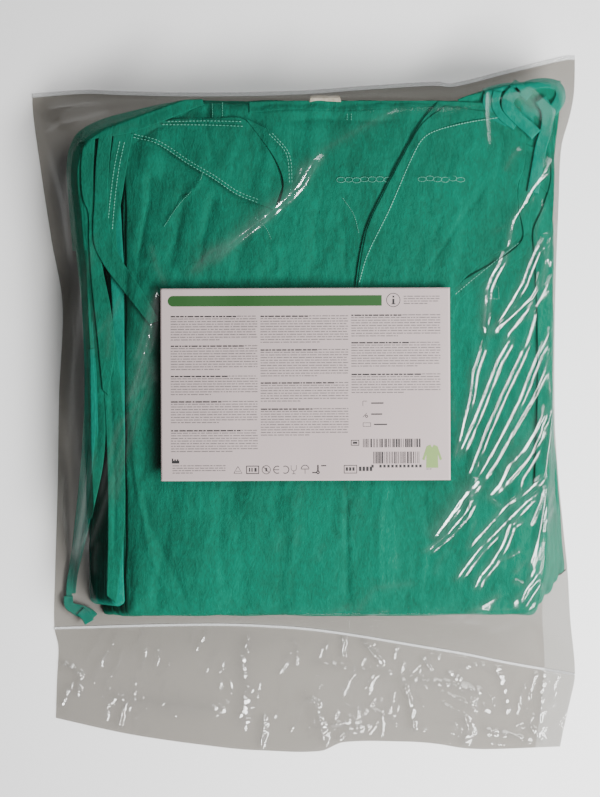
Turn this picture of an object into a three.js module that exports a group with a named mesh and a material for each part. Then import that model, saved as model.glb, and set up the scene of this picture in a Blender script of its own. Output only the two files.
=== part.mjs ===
// A sealed ward pack of ten folded patient gowns: a clear film bag with a welded mouth and a loose
// tail, ten folded gowns with their ties, and the paper label on the film.
// Millimetres, +Z up. X runs across the pack, +Y towards the closed top end of the bag. The pack
// lies on its back panel at z = 0, and the origin is under the middle of its outline.
import * as THREE from "three";

// ---- driving dimensions ----
const bagWidth = 401;
const bagLength = 514;
const gownCount = 10;
const gownThickness = 3.7; // one gown folded to about sixteen plies
const seatGap = 0.3; // between pieces that lie on each other
const filmThickness = 0.5;
const crownRise = 6; // how far the middle of the top gown stands above its edges
const shiftTravel = 5; // free room on the left for each gown to move in the bag
const tieWidth = 9;
const tieThickness = 1.4;
const clothPly = 0.9; // one folded ply lying on the top gown
const weldWidth = 3;
const labelWidth = 210;
const labelHeight = 140;
const labelThickness = 0.4;
const labelCentre = { x: 1, y: 14 };
const tailBillow = 6; // how high the loose front panel of the tail stands off the back one
const cornerRadius = 9; // folded corners of the gowns

const gownPitch = gownThickness + seatGap;
const stackBase = filmThickness + seatGap;
const topGownBase = stackBase + (gownCount - 1) * gownPitch;
const pliesOnTop = 2; // the most that lie over each other on the top gown
const filmClearance = pliesOnTop * (clothPly + seatGap) + 0.4;
const weldThickness = 2 * filmThickness + seatGap;

// The outlines are drawn on a plan of 401 by 514 and stretched to the bag's width and length.
const across = bagWidth / 401;
const along = bagLength / 514;
const onPlan = (points) => points.map(([x, y]) => [x * across, y * along]);

// Folded gowns, clockwise from bottom left. The stack leans, so the bottom gown reaches further
// to the left and its lower right corner stands out past the upper ones.
const bottomGownCorners = onPlan([
  [-148, -156],
  [-149, 186],
  [-88, 223],
  [116, 223],
  [178, 176],
  [184, 130],
  [183.4, -10],
  [191, -120],
  [184, -130],
]);
const topGownCorners = onPlan([
  [-130, -155],
  [-131, 188],
  [-76, 220],
  [118, 220],
  [176, 178],
  [181, 130],
  [181, -10],
  [176, -120],
  [170, -153],
]);

// Ties, as distances from the gown they belong to, for the bottom gown and the top one.
// A waist tie runs down against the left side: [height, stand-off below, stand-off above].
const waistTieRun = [
  [188, 3.6, 4.6],
  [120, 1.4, 1.8],
  [60, 0.4, 0.4],
  [0, 0.4, 0.4],
  [-60, 1.6, 1.6],
  [-115, 10, 3],
  [-138, 14.5, 3.6],
  [-151, 7, 3],
];
// A neck tie lies along the cut-off upper right corner and loops back over it: [share of the cut
// line, share of the corner's depth below, and above].
const neckTieRun = [
  [0.2, 0, 0],
  [0.5, 0, 0],
  [0.775, 0.07, 0.06],
  [0.86, 0.3, 0.2],
  [0.79, 0.7, 0.5],
  [0.64, 0.95, 0.68],
  [0.43, 0.82, 0.52],
];
const neckTieSeat = 0.4;

// Plies of the top gown folded over its face: bottom left, bottom right, top right, top left.
const leftSleeve = onPlan([[-126, 60], [-34, 92], [-20, 214], [-72, 214]]);
const leftCuff = onPlan([[-124, 168], [-78, 120], [-26, 152], [-62, 188]]);
const rightSleeve = onPlan([[58, 62], [176, 92], [172, 172], [106, 212]]);
const rightCuff = onPlan([[74, 96], [120, 78], [172, 140], [150, 176]]);
const openingHem = onPlan([[44, 58], [55, 58], [104, 212], [93, 212]]);
const neckBinding = onPlan([[-20, 177], [-13, 172], [72, 212], [54, 213]]);

// Side edges of the bag as [y, x], the other edges as [x, y].
const leftEdgePoints = [
  [-256, -184],
  [-204, -182.5],
  [-180, -181.5],
  [-165, -184.5],
  [-128, -184],
  [-58, -182],
  [6, -181],
  [74, -178.5],
  [120, -186.5],
  [186, -196.5],
  [218, -200.5],
  [240, -200.5],
];
const rightEdgePoints = [
  [-256, 189],
  [-241, 192],
  [-219, 197],
  [-200, 200.5],
  [-159, 197],
  [-124, 195],
  [-94, 192],
  [-52, 188],
  [-10, 185.5],
  [74, 185.8],
  [150, 188.5],
  [190, 190.5],
  [212, 196.5],
  [230, 199.8],
  [262, 200.5],
];
const topEdgePoints = [
  [-202, 229],
  [-161, 232],
  [-134, 231],
  [-73, 230],
  [-3, 231.5],
  [53, 235.5],
  [98, 238],
  [110, 237],
  [151, 247],
  [194, 257],
  [202, 257],
];
const mouthEdgePoints = [
  [-190, -165.5],
  [-69, -162.8],
  [-10, -165],
  [30, -169.6],
  [85, -178.7],
  [119, -184.5],
  [151, -191],
  [200, -199.5],
];
const foldLinePoints = [
  [-190, -171.4],
  [205, -207.5],
];
const tailEdgePoints = [
  [-190, -231],
  [-126, -245],
  [-58, -254.5],
  [-32, -256.5],
  [12, -257],
  [29, -250.5],
  [74, -250],
  [97, -251.5],
  [118, -254.8],
  [137, -255.6],
  [192, -253.5],
];

// ---- materials ----
const gownFabric = new THREE.MeshStandardMaterial({ color: 0x0f9678, roughness: 0.85, metalness: 0 });
const tieFabric = new THREE.MeshStandardMaterial({ color: 0x16a888, roughness: 0.85, metalness: 0 });
const labelPaper = new THREE.MeshStandardMaterial({ color: 0xd9d2d2, roughness: 0.7, metalness: 0 });
const clearFilm = new THREE.MeshStandardMaterial({
  color: 0xc9cbc8,
  roughness: 0.12,
  metalness: 0,
  transparent: true,
  opacity: 0.3,
});

// ---- curve and surface helpers ----
const lerp = (a, b, t) => a + (b - a) * t;
const clamp = (v, low, high) => Math.min(high, Math.max(low, v));
const blendPoints = (a, b, t) => a.map((point, i) => point.map((v, c) => lerp(v, b[i][c], t)));

// A smooth single-valued curve through points, as a function of the first coordinate.
function through(points) {
  const slopes = points.map((point, i) => {
    const before = points[Math.max(0, i - 1)];
    const after = points[Math.min(points.length - 1, i + 1)];
    return (after[1] - before[1]) / (after[0] - before[0]);
  });
  return (t) => {
    const at = clamp(t, points[0][0], points.at(-1)[0]);
    const i = clamp(points.findIndex((point) => point[0] >= at) - 1, 0, points.length - 2);
    const span = points[i + 1][0] - points[i][0];
    const s = (at - points[i][0]) / span;
    const start = (1 + 2 * s) * (1 - s) ** 2 * points[i][1];
    const leave = s * (1 - s) ** 2 * span * slopes[i];
    const end = s * s * (3 - 2 * s) * points[i + 1][1];
    const arrive = s * s * (s - 1) * span * slopes[i + 1];
    return start + leave + end + arrive;
  };
}

const swap = ([a, b]) => [b, a];
const leftEdge = through(onPlan(leftEdgePoints.map(swap)).map(swap));
const rightEdge = through(onPlan(rightEdgePoints.map(swap)).map(swap));
const topEdge = through(onPlan(topEdgePoints));
const mouthEdge = through(onPlan(mouthEdgePoints));
const foldLine = through(onPlan(foldLinePoints));
const tailEdge = through(onPlan(tailEdgePoints));
const shiftedEdge = (edge, distance) => (x) => edge(x) + distance;
const topSeam = shiftedEdge(topEdge, -weldWidth - seatGap);
const mouthSeam = shiftedEdge(mouthEdge, seatGap);
const frontSet = filmThickness + 2 * seatGap; // the front panel's steep wall ends short of the welds
const frontTop = shiftedEdge(topSeam, -frontSet);
const frontMouth = shiftedEdge(mouthSeam, frontSet);

// A closed sheet between an upper and a lower surface, both functions of u and v.
function sheetSolid(upper, lower, uStops, vStops) {
  const nu = uStops.length;
  const nv = vStops.length;
  const positions = [];
  const index = [];
  for (const side of [upper, lower])
    for (const v of vStops) for (const u of uStops) positions.push(...side(u, v));
  const at = (side, i, j) => side * nu * nv + j * nu + i;
  const quad = (a, b, c, d) => index.push(a, b, c, a, c, d);
  for (let j = 0; j < nv - 1; j++)
    for (let i = 0; i < nu - 1; i++) {
      quad(at(0, i, j), at(0, i + 1, j), at(0, i + 1, j + 1), at(0, i, j + 1));
      quad(at(1, i, j), at(1, i, j + 1), at(1, i + 1, j + 1), at(1, i + 1, j));
    }
  for (let i = 0; i < nu - 1; i++) {
    quad(at(1, i, 0), at(1, i + 1, 0), at(0, i + 1, 0), at(0, i, 0));
    quad(at(0, i, nv - 1), at(0, i + 1, nv - 1), at(1, i + 1, nv - 1), at(1, i, nv - 1));
  }
  for (let j = 0; j < nv - 1; j++) {
    quad(at(0, 0, j), at(0, 0, j + 1), at(1, 0, j + 1), at(1, 0, j));
    quad(at(1, nu - 1, j), at(1, nu - 1, j + 1), at(0, nu - 1, j + 1), at(0, nu - 1, j));
  }
  const geometry = new THREE.BufferGeometry();
  geometry.setAttribute("position", new THREE.Float32BufferAttribute(positions, 3));
  geometry.setIndex(index);
  return geometry;
}

const evenStops = (count) => Array.from({ length: count + 1 }, (_, i) => i / count);

// The surface moved out along its normal, for the outer side of the film.
function offsetSurface(surface, distance) {
  const step = 1e-3;
  return (u, v) => {
    const at = (a, b) => new THREE.Vector3(...surface(clamp(a, 0, 1), clamp(b, 0, 1)));
    const alongU = at(u + step, v).sub(at(u - step, v));
    const alongV = at(u, v + step).sub(at(u, v - step));
    return at(u, v).addScaledVector(alongU.cross(alongV).normalize(), distance).toArray();
  };
}

// A closed outline with its corners rounded.
function roundedShape(corners, radius) {
  const shape = new THREE.Shape();
  corners.forEach((corner, i) => {
    const here = new THREE.Vector2(...corner);
    const before = new THREE.Vector2(...corners[(i + corners.length - 1) % corners.length]);
    const after = new THREE.Vector2(...corners[(i + 1) % corners.length]);
    const reach = (end) => Math.min(radius, 0.45 * here.distanceTo(end));
    const enter = here.clone().add(before.clone().sub(here).setLength(reach(before)));
    const leave = here.clone().add(after.clone().sub(here).setLength(reach(after)));
    if (i === 0) shape.moveTo(enter.x, enter.y);
    else shape.lineTo(enter.x, enter.y);
    shape.quadraticCurveTo(here.x, here.y, leave.x, leave.y);
  });
  shape.closePath();
  return shape;
}

// A flat strip of one width along a path in the plane, lying at height z.
function flatStrip(points, width, thickness, z, steps) {
  const curve = new THREE.CatmullRomCurve3(points.map(([x, y]) => new THREE.Vector3(x, y, 0)));
  const left = [];
  const right = [];
  for (let i = 0; i <= steps; i++) {
    const at = curve.getPointAt(i / steps);
    const forward = curve.getTangentAt(i / steps);
    const side = new THREE.Vector2(-forward.y, forward.x).setLength(width / 2);
    left.push(new THREE.Vector2(at.x + side.x, at.y + side.y));
    right.push(new THREE.Vector2(at.x - side.x, at.y - side.y));
  }
  const shape = new THREE.Shape([...left, ...right.reverse()]);
  const geometry = new THREE.ExtrudeGeometry(shape, { depth: thickness, bevelEnabled: false });
  geometry.translate(0, 0, z);
  return geometry;
}

// ---- the stack of gowns ----
const gownBase = (k) => stackBase + (k - 1) * gownPitch;
const lean = (k) => (k - 1) / (gownCount - 1); // 0 for the bottom gown, 1 for the top one

// The top face of the top gown: flat at its edges and crowned in the middle.
const faceMiddle = { x: 21 * across, y: 33 * along };
const faceHalf = { x: 152 * across, y: 188 * along };
function topFace(x, y) {
  const a = clamp(Math.abs(x - faceMiddle.x) / faceHalf.x, 0, 1);
  const b = clamp(Math.abs(y - faceMiddle.y) / faceHalf.y, 0, 1);
  return topGownBase + gownThickness + crownRise * (1 - a ** 2.5) * (1 - b ** 2.5);
}

function foldedGown(k) {
  const settings = { depth: gownThickness, bevelEnabled: false, curveSegments: 4 };
  const geometry = new THREE.ExtrudeGeometry(roundedShape(gownCorners(k), cornerRadius), settings);
  geometry.translate(0, 0, gownBase(k));
  return geometry;
}

// The top gown is a grid in plan, so that its face can crown.
function topGown() {
  const byHeight = (points) => through(points.map(swap).sort((a, b) => a[0] - b[0]));
  const byWidth = (points) => through([...points].sort((a, b) => a[0] - b[0]));
  const [c0, c1, c2, c3, c4, c5, c6, c7, c8] = topGownCorners;
  const leftSide = byHeight([c0, [c1[0], c1[1]]]);
  const rightSide = byHeight([c8, c7, c6, c5, c4]);
  const upperSide = (x) => {
    if (x < c2[0]) return lerp(c1[1], c2[1], clamp((x - c1[0]) / (c2[0] - c1[0]), 0, 1));
    if (x > c3[0]) return lerp(c3[1], c4[1], clamp((x - c3[0]) / (c4[0] - c3[0]), 0, 1));
    return lerp(c2[1], c3[1], (x - c2[0]) / (c3[0] - c2[0]));
  };
  const lowerSide = byWidth([c0, c8]);
  const plan = (u, v) => {
    let x = lerp(c0[0], c8[0], u);
    let y = 0;
    for (let pass = 0; pass < 8; pass++) {
      y = lerp(lowerSide(x), upperSide(x), v);
      x = lerp(leftSide(y), rightSide(y), u);
    }
    return [x, y];
  };
  const upper = (u, v) => [...plan(u, v), topFace(...plan(u, v))];
  const lower = (u, v) => [...plan(u, v), topGownBase];
  return sheetSolid(upper, lower, evenStops(20), evenStops(20));
}

const gownCorners = (k) => blendPoints(bottomGownCorners, topGownCorners, lean(k));

function waistTiePath(k) {
  const [low, high] = gownCorners(k);
  return waistTieRun.map(([height, below, above]) => {
    const y = height * along;
    const side = lerp(low[0], high[0], (y - low[1]) / (high[1] - low[1]));
    return [side - lerp(below, above, lean(k)) - tieWidth / 2, y];
  });
}

function neckTiePath(k) {
  const [, , , start, end] = gownCorners(k).map((corner) => new THREE.Vector2(...corner));
  const cut = end.clone().sub(start);
  const out = new THREE.Vector2(-cut.y, cut.x).normalize();
  const depth = new THREE.Vector2(cut.x, 0).dot(out);
  return neckTieRun.map(([share, below, above]) => {
    const rise = lerp(below, above, lean(k)) * (depth - tieWidth);
    const offset = neckTieSeat + tieWidth / 2 + rise;
    return start.clone().addScaledVector(cut, share).addScaledVector(out, offset).toArray();
  });
}

// A tie lies in the middle of its own gown's height, so that the gowns slide over each other
// without their ties meeting.
function tie(path, k) {
  const z = gownBase(k) + (gownThickness - tieThickness) / 2;
  return flatStrip(path, tieWidth, tieThickness, z, 18);
}

// A ply of the top gown on its crowned face, under as many plies as layer says.
function lyingPly(corners, layer, uCount, vCount) {
  const plan = (u, v) => {
    const [lower] = blendPoints([corners[0]], [corners[1]], u);
    const [upper] = blendPoints([corners[3]], [corners[2]], u);
    return blendPoints([lower], [upper], v)[0];
  };
  const lift = seatGap + layer * (clothPly + seatGap);
  const surface = (rise) => (u, v) => [...plan(u, v), topFace(...plan(u, v)) + rise];
  return sheetSolid(surface(lift + clothPly), surface(lift), evenStops(uCount), evenStops(vCount));
}

// ---- the film bag ----
// Where the front panel leaves the stack. On the left it stands off by the gowns' free travel.
const clearOf = 1.2;
const topTieLeft = Math.min(...waistTiePath(gownCount).map(([x]) => x)) - tieWidth / 2;
const stackLeft = topTieLeft - shiftTravel - clearOf;
const stackTop = topGownCorners[2][1] + clearOf;
const stackBottom = topGownCorners[0][1] - clearOf;
const stackRight = through(
  [...topGownCorners.slice(4)].reverse().map(([x, y]) => [y, Math.max(x, 179 * across) + clearOf]),
);

// Height of the front panel's inner side. Over the stack it clears the top gown at rest and
// shifted; outside the stack it falls to the seam in a straight tent.
function filmHeight(x, y) {
  const right = stackRight(y);
  const out = Math.hypot(
    Math.max(stackLeft - x, x - right, 0),
    Math.max(stackBottom - y, y - stackTop, 0),
  );
  const insides = [x - leftEdge(y), rightEdge(y) - x, frontTop(x) - y, y - frontMouth(x)];
  const room = Math.max(0, Math.min(...insides));
  const nearX = clamp(x, stackLeft, right);
  const nearY = clamp(y, stackBottom, stackTop);
  const over = Math.max(topFace(nearX, nearY), topFace(nearX + shiftTravel, nearY)) + filmClearance;
  const fall = out > 0 ? out / (out + room) : 0;
  return lerp(over, filmThickness + seatGap, fall);
}

// Grid lines of the front panel: a share of them lies between the stack and the seam.
const wallShare = 0.16;
function spread(t, low, innerLow, innerHigh, high) {
  if (t < wallShare) return lerp(low, innerLow, t / wallShare);
  if (t > 1 - wallShare) return lerp(innerHigh, high, (t - 1 + wallShare) / wallShare);
  return lerp(innerLow, innerHigh, (t - wallShare) / (1 - 2 * wallShare));
}

function filmPlan(u, v) {
  let x = lerp(stackLeft, stackRight(0), u);
  let y = lerp(stackBottom, stackTop, v);
  for (let pass = 0; pass < 8; pass++) {
    x = spread(u, leftEdge(y), stackLeft, stackRight(y), rightEdge(y));
    y = spread(v, frontMouth(x), stackBottom, stackTop, frontTop(x));
  }
  return [x, y];
}

function frontPanel() {
  const inner = (u, v) => [...filmPlan(u, v), filmHeight(...filmPlan(u, v))];
  const stops = evenStops(25);
  return sheetSolid(offsetSurface(inner, filmThickness), inner, stops, stops);
}

// Plan of a band of film between two curves across the bag, with its ends on the side edges.
function bandPlan(lowerEdge, upperEdge) {
  return (u, v) => {
    let x = lerp(-0.48, 0.48, u) * bagWidth;
    let y = 0;
    for (let pass = 0; pass < 8; pass++) {
      y = lerp(lowerEdge(x), upperEdge(x), v);
      x = lerp(leftEdge(y), rightEdge(y), u);
    }
    return [x, y];
  };
}

function flatBand(lowerEdge, upperEdge, z, thickness, uCount, vCount) {
  const plan = bandPlan(lowerEdge, upperEdge);
  const level = (height) => (u, v) => [...plan(u, v), height];
  return sheetSolid(level(z + thickness), level(z), evenStops(uCount), evenStops(vCount));
}

const hinge = seatGap / 2; // half the crease between the skirt and the tail
const weldLower = shiftedEdge(mouthEdge, -weldWidth);
const skirtUpper = shiftedEdge(weldLower, -seatGap);
const skirtLower = shiftedEdge(foldLine, hinge);
const tailUpper = shiftedEdge(foldLine, -hinge);

// The loose front panel of the tail lies on the back one at its rim and billows between.
function tailFrontPanel() {
  const plan = bandPlan(tailEdge, tailUpper);
  const rise = (u, v) => {
    const arch = Math.sin(Math.PI * u) ** 0.6 * Math.sin(Math.PI * 0.62 * (1 - v));
    const ripple = 0.62 + 0.38 * Math.sin(2 * Math.PI * (4 * u + 0.4 * v));
    return filmThickness + seatGap + tailBillow * arch * ripple;
  };
  const surface = (extra) => (u, v) => [...plan(u, v), rise(u, v) + extra];
  return sheetSolid(surface(filmThickness), surface(0), evenStops(32), evenStops(6));
}

// The label lies on the outside of the front panel.
function label() {
  const plan = (u, v) => [
    labelCentre.x + (u - 0.5) * labelWidth,
    labelCentre.y + (v - 0.5) * labelHeight,
  ];
  const lift = filmThickness + seatGap + 0.1;
  const surface = (extra) => (u, v) => [...plan(u, v), filmHeight(...plan(u, v)) + lift + extra];
  return sheetSolid(surface(labelThickness), surface(0), evenStops(12), evenStops(8));
}

// ---- assembly ----
const pack = new THREE.Group();
pack.name = "patient_gown_pack";
function add(name, geometry, material) {
  const mesh = new THREE.Mesh(geometry, material.clone());
  mesh.name = name;
  pack.add(mesh);
}

for (let k = 1; k <= gownCount; k++) {
  const number = String(k).padStart(2, "0");
  add(`gown_${number}_body`, k === gownCount ? topGown() : foldedGown(k), gownFabric);
  add(`gown_${number}_waist_tie`, tie(waistTiePath(k), k), tieFabric);
  add(`gown_${number}_neck_tie`, tie(neckTiePath(k), k), tieFabric);
}
add("gown_10_left_sleeve", lyingPly(leftSleeve, 0, 8, 10), gownFabric);
add("gown_10_left_cuff", lyingPly(leftCuff, 1, 6, 6), gownFabric);
add("gown_10_right_sleeve", lyingPly(rightSleeve, 0, 8, 10), gownFabric);
add("gown_10_right_cuff", lyingPly(rightCuff, 1, 6, 6), gownFabric);
add("gown_10_opening_hem", lyingPly(openingHem, 0, 2, 12), tieFabric);
add("gown_10_neck_binding", lyingPly(neckBinding, 0, 8, 2), tieFabric);

add("bag_back_panel", flatBand(mouthSeam, topSeam, 0, filmThickness, 28, 16), clearFilm);
add("bag_front_panel", frontPanel(), clearFilm);
add("bag_top_weld", flatBand(shiftedEdge(topEdge, -weldWidth), topEdge, 0, weldThickness, 28, 1), clearFilm);
add("bag_mouth_weld", flatBand(weldLower, mouthEdge, 0, weldThickness, 28, 1), clearFilm);
add("bag_mouth_skirt", flatBand(skirtLower, skirtUpper, 0, weldThickness, 28, 2), clearFilm);
add("tail_back_panel", flatBand(tailEdge, tailUpper, 0, filmThickness, 28, 6), clearFilm);
add("tail_front_panel", tailFrontPanel(), clearFilm);
add("label", label(), labelPaper);

export default pack;
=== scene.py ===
# A sealed film pack of ten folded patient gowns, lying flat, with its paper label and loose tail.
# Shapes are worked out in millimetres and put into meshes in metres; x runs across the pack and
# y towards the closed top end of the bag.
import math

import bmesh
import bpy
import numpy as np
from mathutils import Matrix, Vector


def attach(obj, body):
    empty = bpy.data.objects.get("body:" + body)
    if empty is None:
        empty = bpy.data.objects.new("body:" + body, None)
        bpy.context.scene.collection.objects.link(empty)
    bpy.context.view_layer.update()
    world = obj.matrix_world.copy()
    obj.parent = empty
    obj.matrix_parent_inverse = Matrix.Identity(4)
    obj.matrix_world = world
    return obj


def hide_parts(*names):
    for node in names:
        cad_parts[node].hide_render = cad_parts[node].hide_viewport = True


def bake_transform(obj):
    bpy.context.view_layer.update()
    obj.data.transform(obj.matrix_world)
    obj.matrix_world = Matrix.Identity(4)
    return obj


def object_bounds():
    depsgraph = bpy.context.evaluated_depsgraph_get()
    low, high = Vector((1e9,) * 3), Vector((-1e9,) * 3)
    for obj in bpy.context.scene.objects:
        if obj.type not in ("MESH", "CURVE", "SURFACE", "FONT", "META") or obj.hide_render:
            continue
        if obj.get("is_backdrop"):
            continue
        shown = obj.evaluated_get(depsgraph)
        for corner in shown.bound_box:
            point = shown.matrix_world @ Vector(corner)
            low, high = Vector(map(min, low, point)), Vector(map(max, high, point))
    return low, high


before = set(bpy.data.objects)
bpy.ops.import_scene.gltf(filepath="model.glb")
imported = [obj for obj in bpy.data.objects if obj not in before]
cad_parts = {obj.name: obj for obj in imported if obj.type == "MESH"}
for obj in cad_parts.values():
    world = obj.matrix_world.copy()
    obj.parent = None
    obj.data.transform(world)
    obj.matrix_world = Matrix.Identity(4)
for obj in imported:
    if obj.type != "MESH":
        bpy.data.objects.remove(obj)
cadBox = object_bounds()
print("frame loaded")

mm = 0.001


def mix(a, b, t):
    return a + (b - a) * t


# Nought to one with level ends: three t squared less two t cubed.
def ease(t):
    t = np.clip(t, 0, 1)
    return t * t * (3 - 2 * t)


# A smooth single-valued curve through (t, value) points: between two points a cubic that leaves
# and arrives with the averaged slopes there.
def smoothCurve(points):
    t, value = np.array(points, float).T
    slope = np.gradient(value, t)
    slope[1:-1] = (value[2:] - value[:-2]) / (t[2:] - t[:-2])

    def at(s):
        s = np.clip(s, t[0], t[-1])
        i = np.clip(np.searchsorted(t, s) - 1, 0, len(t) - 2)
        span = t[i + 1] - t[i]
        f = (s - t[i]) / span
        start = (1 + 2 * f) * (1 - f) ** 2 * value[i] + f * (1 - f) ** 2 * span * slope[i]
        return start + f * f * (3 - 2 * f) * value[i + 1] + f * f * (f - 1) * span * slope[i + 1]

    return at


# Evenly spaced points on a smooth curve through the given ones, by chord length.
def pathThrough(points, count):
    p = np.array(points, float)
    along = np.r_[0, np.cumsum(np.linalg.norm(np.diff(p, axis=0), axis=1))]
    fine = np.linspace(0, along[-1], 40 * len(p))
    dense = np.stack([smoothCurve(np.c_[along, p[:, c]])(fine) for c in range(p.shape[1])], 1)
    length = np.r_[0, np.cumsum(np.linalg.norm(np.diff(dense, axis=0), axis=1))]
    even = np.linspace(0, length[-1], count)
    return np.stack([np.interp(even, length, dense[:, c]) for c in range(p.shape[1])], 1)


# Smooth random values between minus one and one: a table of them, one per unit, eased between.
def softNoise(seed):
    table = np.random.default_rng(seed).uniform(-1, 1, (64, 64))

    def at(x, y):
        i, j = np.asarray(x) + 900.0, np.asarray(y) + 900.0
        a, b = np.floor(i).astype(int), np.floor(j).astype(int)
        s, t = ease(i - a), ease(j - b)
        low = mix(table[a % 64, b % 64], table[(a + 1) % 64, b % 64], s)
        return mix(low, mix(table[a % 64, (b + 1) % 64], table[(a + 1) % 64, (b + 1) % 64], s), t)

    return at


# For every place: how far it is from a polyline, and the share of the line at its nearest point.
def lineField(x, y, points):
    p = np.array(points, float)
    spans = np.linalg.norm(np.diff(p, axis=0), axis=1)
    starts = np.r_[0, np.cumsum(spans)[:-1]]
    best = np.full(x.shape, 1e9)
    along = np.zeros(x.shape)
    for a, b, span, start in zip(p[:-1], p[1:], spans, starts):
        d = (b - a) / span
        t = np.clip((x - a[0]) * d[0] + (y - a[1]) * d[1], 0, span)
        far = np.hypot(x - a[0] - t * d[0], y - a[1] - t * d[1])
        near = far < best
        best = np.where(near, far, best)
        along = np.where(near, (start + t) / spans.sum(), along)
    return best, along


crestRound = 0.7


# Ridges along lines: each is its height times e to minus the distance over its width, with a
# rounded crest, and dies away towards its ends. They are added, or the highest is kept.
def ridgeField(x, y, ridges, join=np.add):
    total = np.zeros(x.shape)
    for points, height, width in ridges:
        far, along = lineField(x, y, points)
        far = np.hypot(far, crestRound) - crestRound
        total = join(total, height * np.exp(-far / width) * ease(np.minimum(along, 1 - along) / 0.16 + 0.04))
    return total


# Quads of a grid stored row by row, facing up where rows run along y and columns along x.
def gridFaces(rows, columns, wrapRows=False, wrapColumns=False):
    i, j = np.meshgrid(
        np.arange(rows if wrapRows else rows - 1),
        np.arange(columns if wrapColumns else columns - 1),
        indexing="ij",
    )
    nextI, nextJ = (i + 1) % rows, (j + 1) % columns
    corners = [i * columns + j, i * columns + nextJ, nextI * columns + nextJ, nextI * columns + j]
    return np.stack([c.ravel() for c in corners], 1)


def buildMesh(name, points, quads, tris=None, crease=None):
    quads = np.asarray(quads, np.int32).reshape(-1, 4)
    tris = np.zeros((0, 3), np.int32) if tris is None else np.asarray(tris, np.int32).reshape(-1, 3)
    mesh = bpy.data.meshes.new(name)
    mesh.vertices.add(len(points))
    mesh.vertices.foreach_set("co", (np.asarray(points, float) * mm).astype(np.float32).ravel())
    corners = np.r_[quads.ravel(), tris.ravel()]
    mesh.loops.add(len(corners))
    mesh.loops.foreach_set("vertex_index", corners)
    sizes = np.r_[np.full(len(quads), 4), np.full(len(tris), 3)]
    mesh.polygons.add(len(sizes))
    mesh.polygons.foreach_set("loop_start", np.r_[0, np.cumsum(sizes)[:-1]].astype(np.int32))
    mesh.polygons.foreach_set("use_smooth", np.ones(len(sizes), bool))
    # The crease values become the film's white gloss share: partly stress whitening, partly painted
    # highlight.
    if crease is not None:
        layer = mesh.attributes.new("crease", "FLOAT", "POINT")
        layer.data.foreach_set("value", np.asarray(crease, np.float32).ravel())
    mesh.update(calc_edges=True)
    mesh.validate()
    thing = bpy.data.objects.new(name, mesh)
    bpy.context.scene.collection.objects.link(thing)
    return thing


# Merges the points that lie on each other and turns every face of a closed mesh outward.
def closed(thing):
    work = bmesh.new()
    work.from_mesh(thing.data)
    bmesh.ops.remove_doubles(work, verts=work.verts, dist=1e-6)
    bmesh.ops.recalc_face_normals(work, faces=work.faces)
    work.to_mesh(thing.data)
    work.free()
    return thing


# A closed sheet between two heights over a grid of places, with a wall round its border.
def slab(name, x, y, low, high):
    rows, columns = x.shape
    upper = np.stack([x, y, high], -1).reshape(-1, 3)
    lower = np.stack([x, y, low], -1).reshape(-1, 3)
    index = np.arange(rows * columns).reshape(rows, columns)
    rim = np.r_[index[0], index[1:, -1], index[-1, -2::-1], index[-2:0:-1, 0]]
    walls = np.stack([rim, np.roll(rim, -1), np.roll(rim, -1) + len(upper), rim + len(upper)], 1)
    quads = gridFaces(rows, columns)
    faces = np.vstack([quads, quads[:, ::-1] + len(upper), walls])
    return closed(buildMesh(name, np.vstack([upper, lower]), faces))


# Outlines in plan, the same as the CAD's: side edges as (y, x), the others as (x, y).
leftEdge = smoothCurve([
    (-256, -184), (-204, -182.5), (-180, -181.5), (-165, -184.5), (-128, -184), (-58, -182),
    (6, -181), (74, -178.5), (120, -186.5), (186, -196.5), (218, -200.5), (240, -200.5),
])
rightEdge = smoothCurve([
    (-256, 189), (-241, 192), (-219, 197), (-200, 200.5), (-159, 197), (-124, 195), (-94, 192),
    (-52, 188), (-10, 185.5), (74, 185.8), (150, 188.5), (190, 190.5), (212, 196.5), (230, 199.8),
    (262, 200.5),
])
topEdge = smoothCurve([
    (-202, 229), (-161, 232), (-134, 231), (-73, 230), (-3, 231.5), (53, 235.5), (98, 238),
    (110, 237), (151, 247), (194, 257), (202, 257),
])
mouthEdge = smoothCurve([
    (-190, -165.5), (-69, -162.8), (-10, -165), (30, -169.6), (85, -178.7), (119, -184.5),
    (151, -191), (200, -199.5),
])
tailEdge = smoothCurve([
    (-190, -231), (-126, -245), (-58, -254.5), (-32, -256.5), (12, -257), (29, -250.5), (74, -250),
    (97, -251.5), (118, -254.8), (137, -255.6), (192, -253.5),
])
weldWidth = 3.0


# The straight crease at which the tail folds.
def foldLine(x):
    return -171.4 + (x + 190) * (-36.1 / 395)


# Plan places for shares u across the bag and v between two curves, with the ends on the sides.
def bagPlan(u, v, lower, upper, left=leftEdge, right=rightEdge):
    x = mix(-190.0, 190.0, u)
    y = 0 * x
    for turn in range(10):
        y = mix(lower(x), upper(x), v)
        x = mix(left(y), right(y), u)
    return x, y


bottomCorners = np.array([
    (-148, -156), (-149, 186), (-88, 223), (116, 223), (178, 176), (184, 130), (183.4, -10),
    (191.5, -112), (192.5, -125),
], float)
topCorners = np.array([
    (-130, -155), (-131, 188), (-76, 220), (118, 220), (176, 178), (181, 130), (181, -10),
    (177, -125), (168.5, -154.5),
], float)
stack = dict(gowns=10, thick=3.7, gap=0.3, base=0.8, corner=3.0, ripple=0.55, rolls=5)
pitch = stack["thick"] + stack["gap"]


def gownBase(k):
    return stack["base"] + (k - 1) * pitch


def lean(k):
    return (k - 1) / (stack["gowns"] - 1)


# A gown's corners lean with its place in the stack; at the lower right they step, two by two.
def gownCorners(k):
    leaning = mix(bottomCorners, topCorners, lean(k))
    stepped = mix(bottomCorners, topCorners, np.round(lean(k) * 4) / 4)
    return np.vstack([leaning[:-2], stepped[-2:]])


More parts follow.
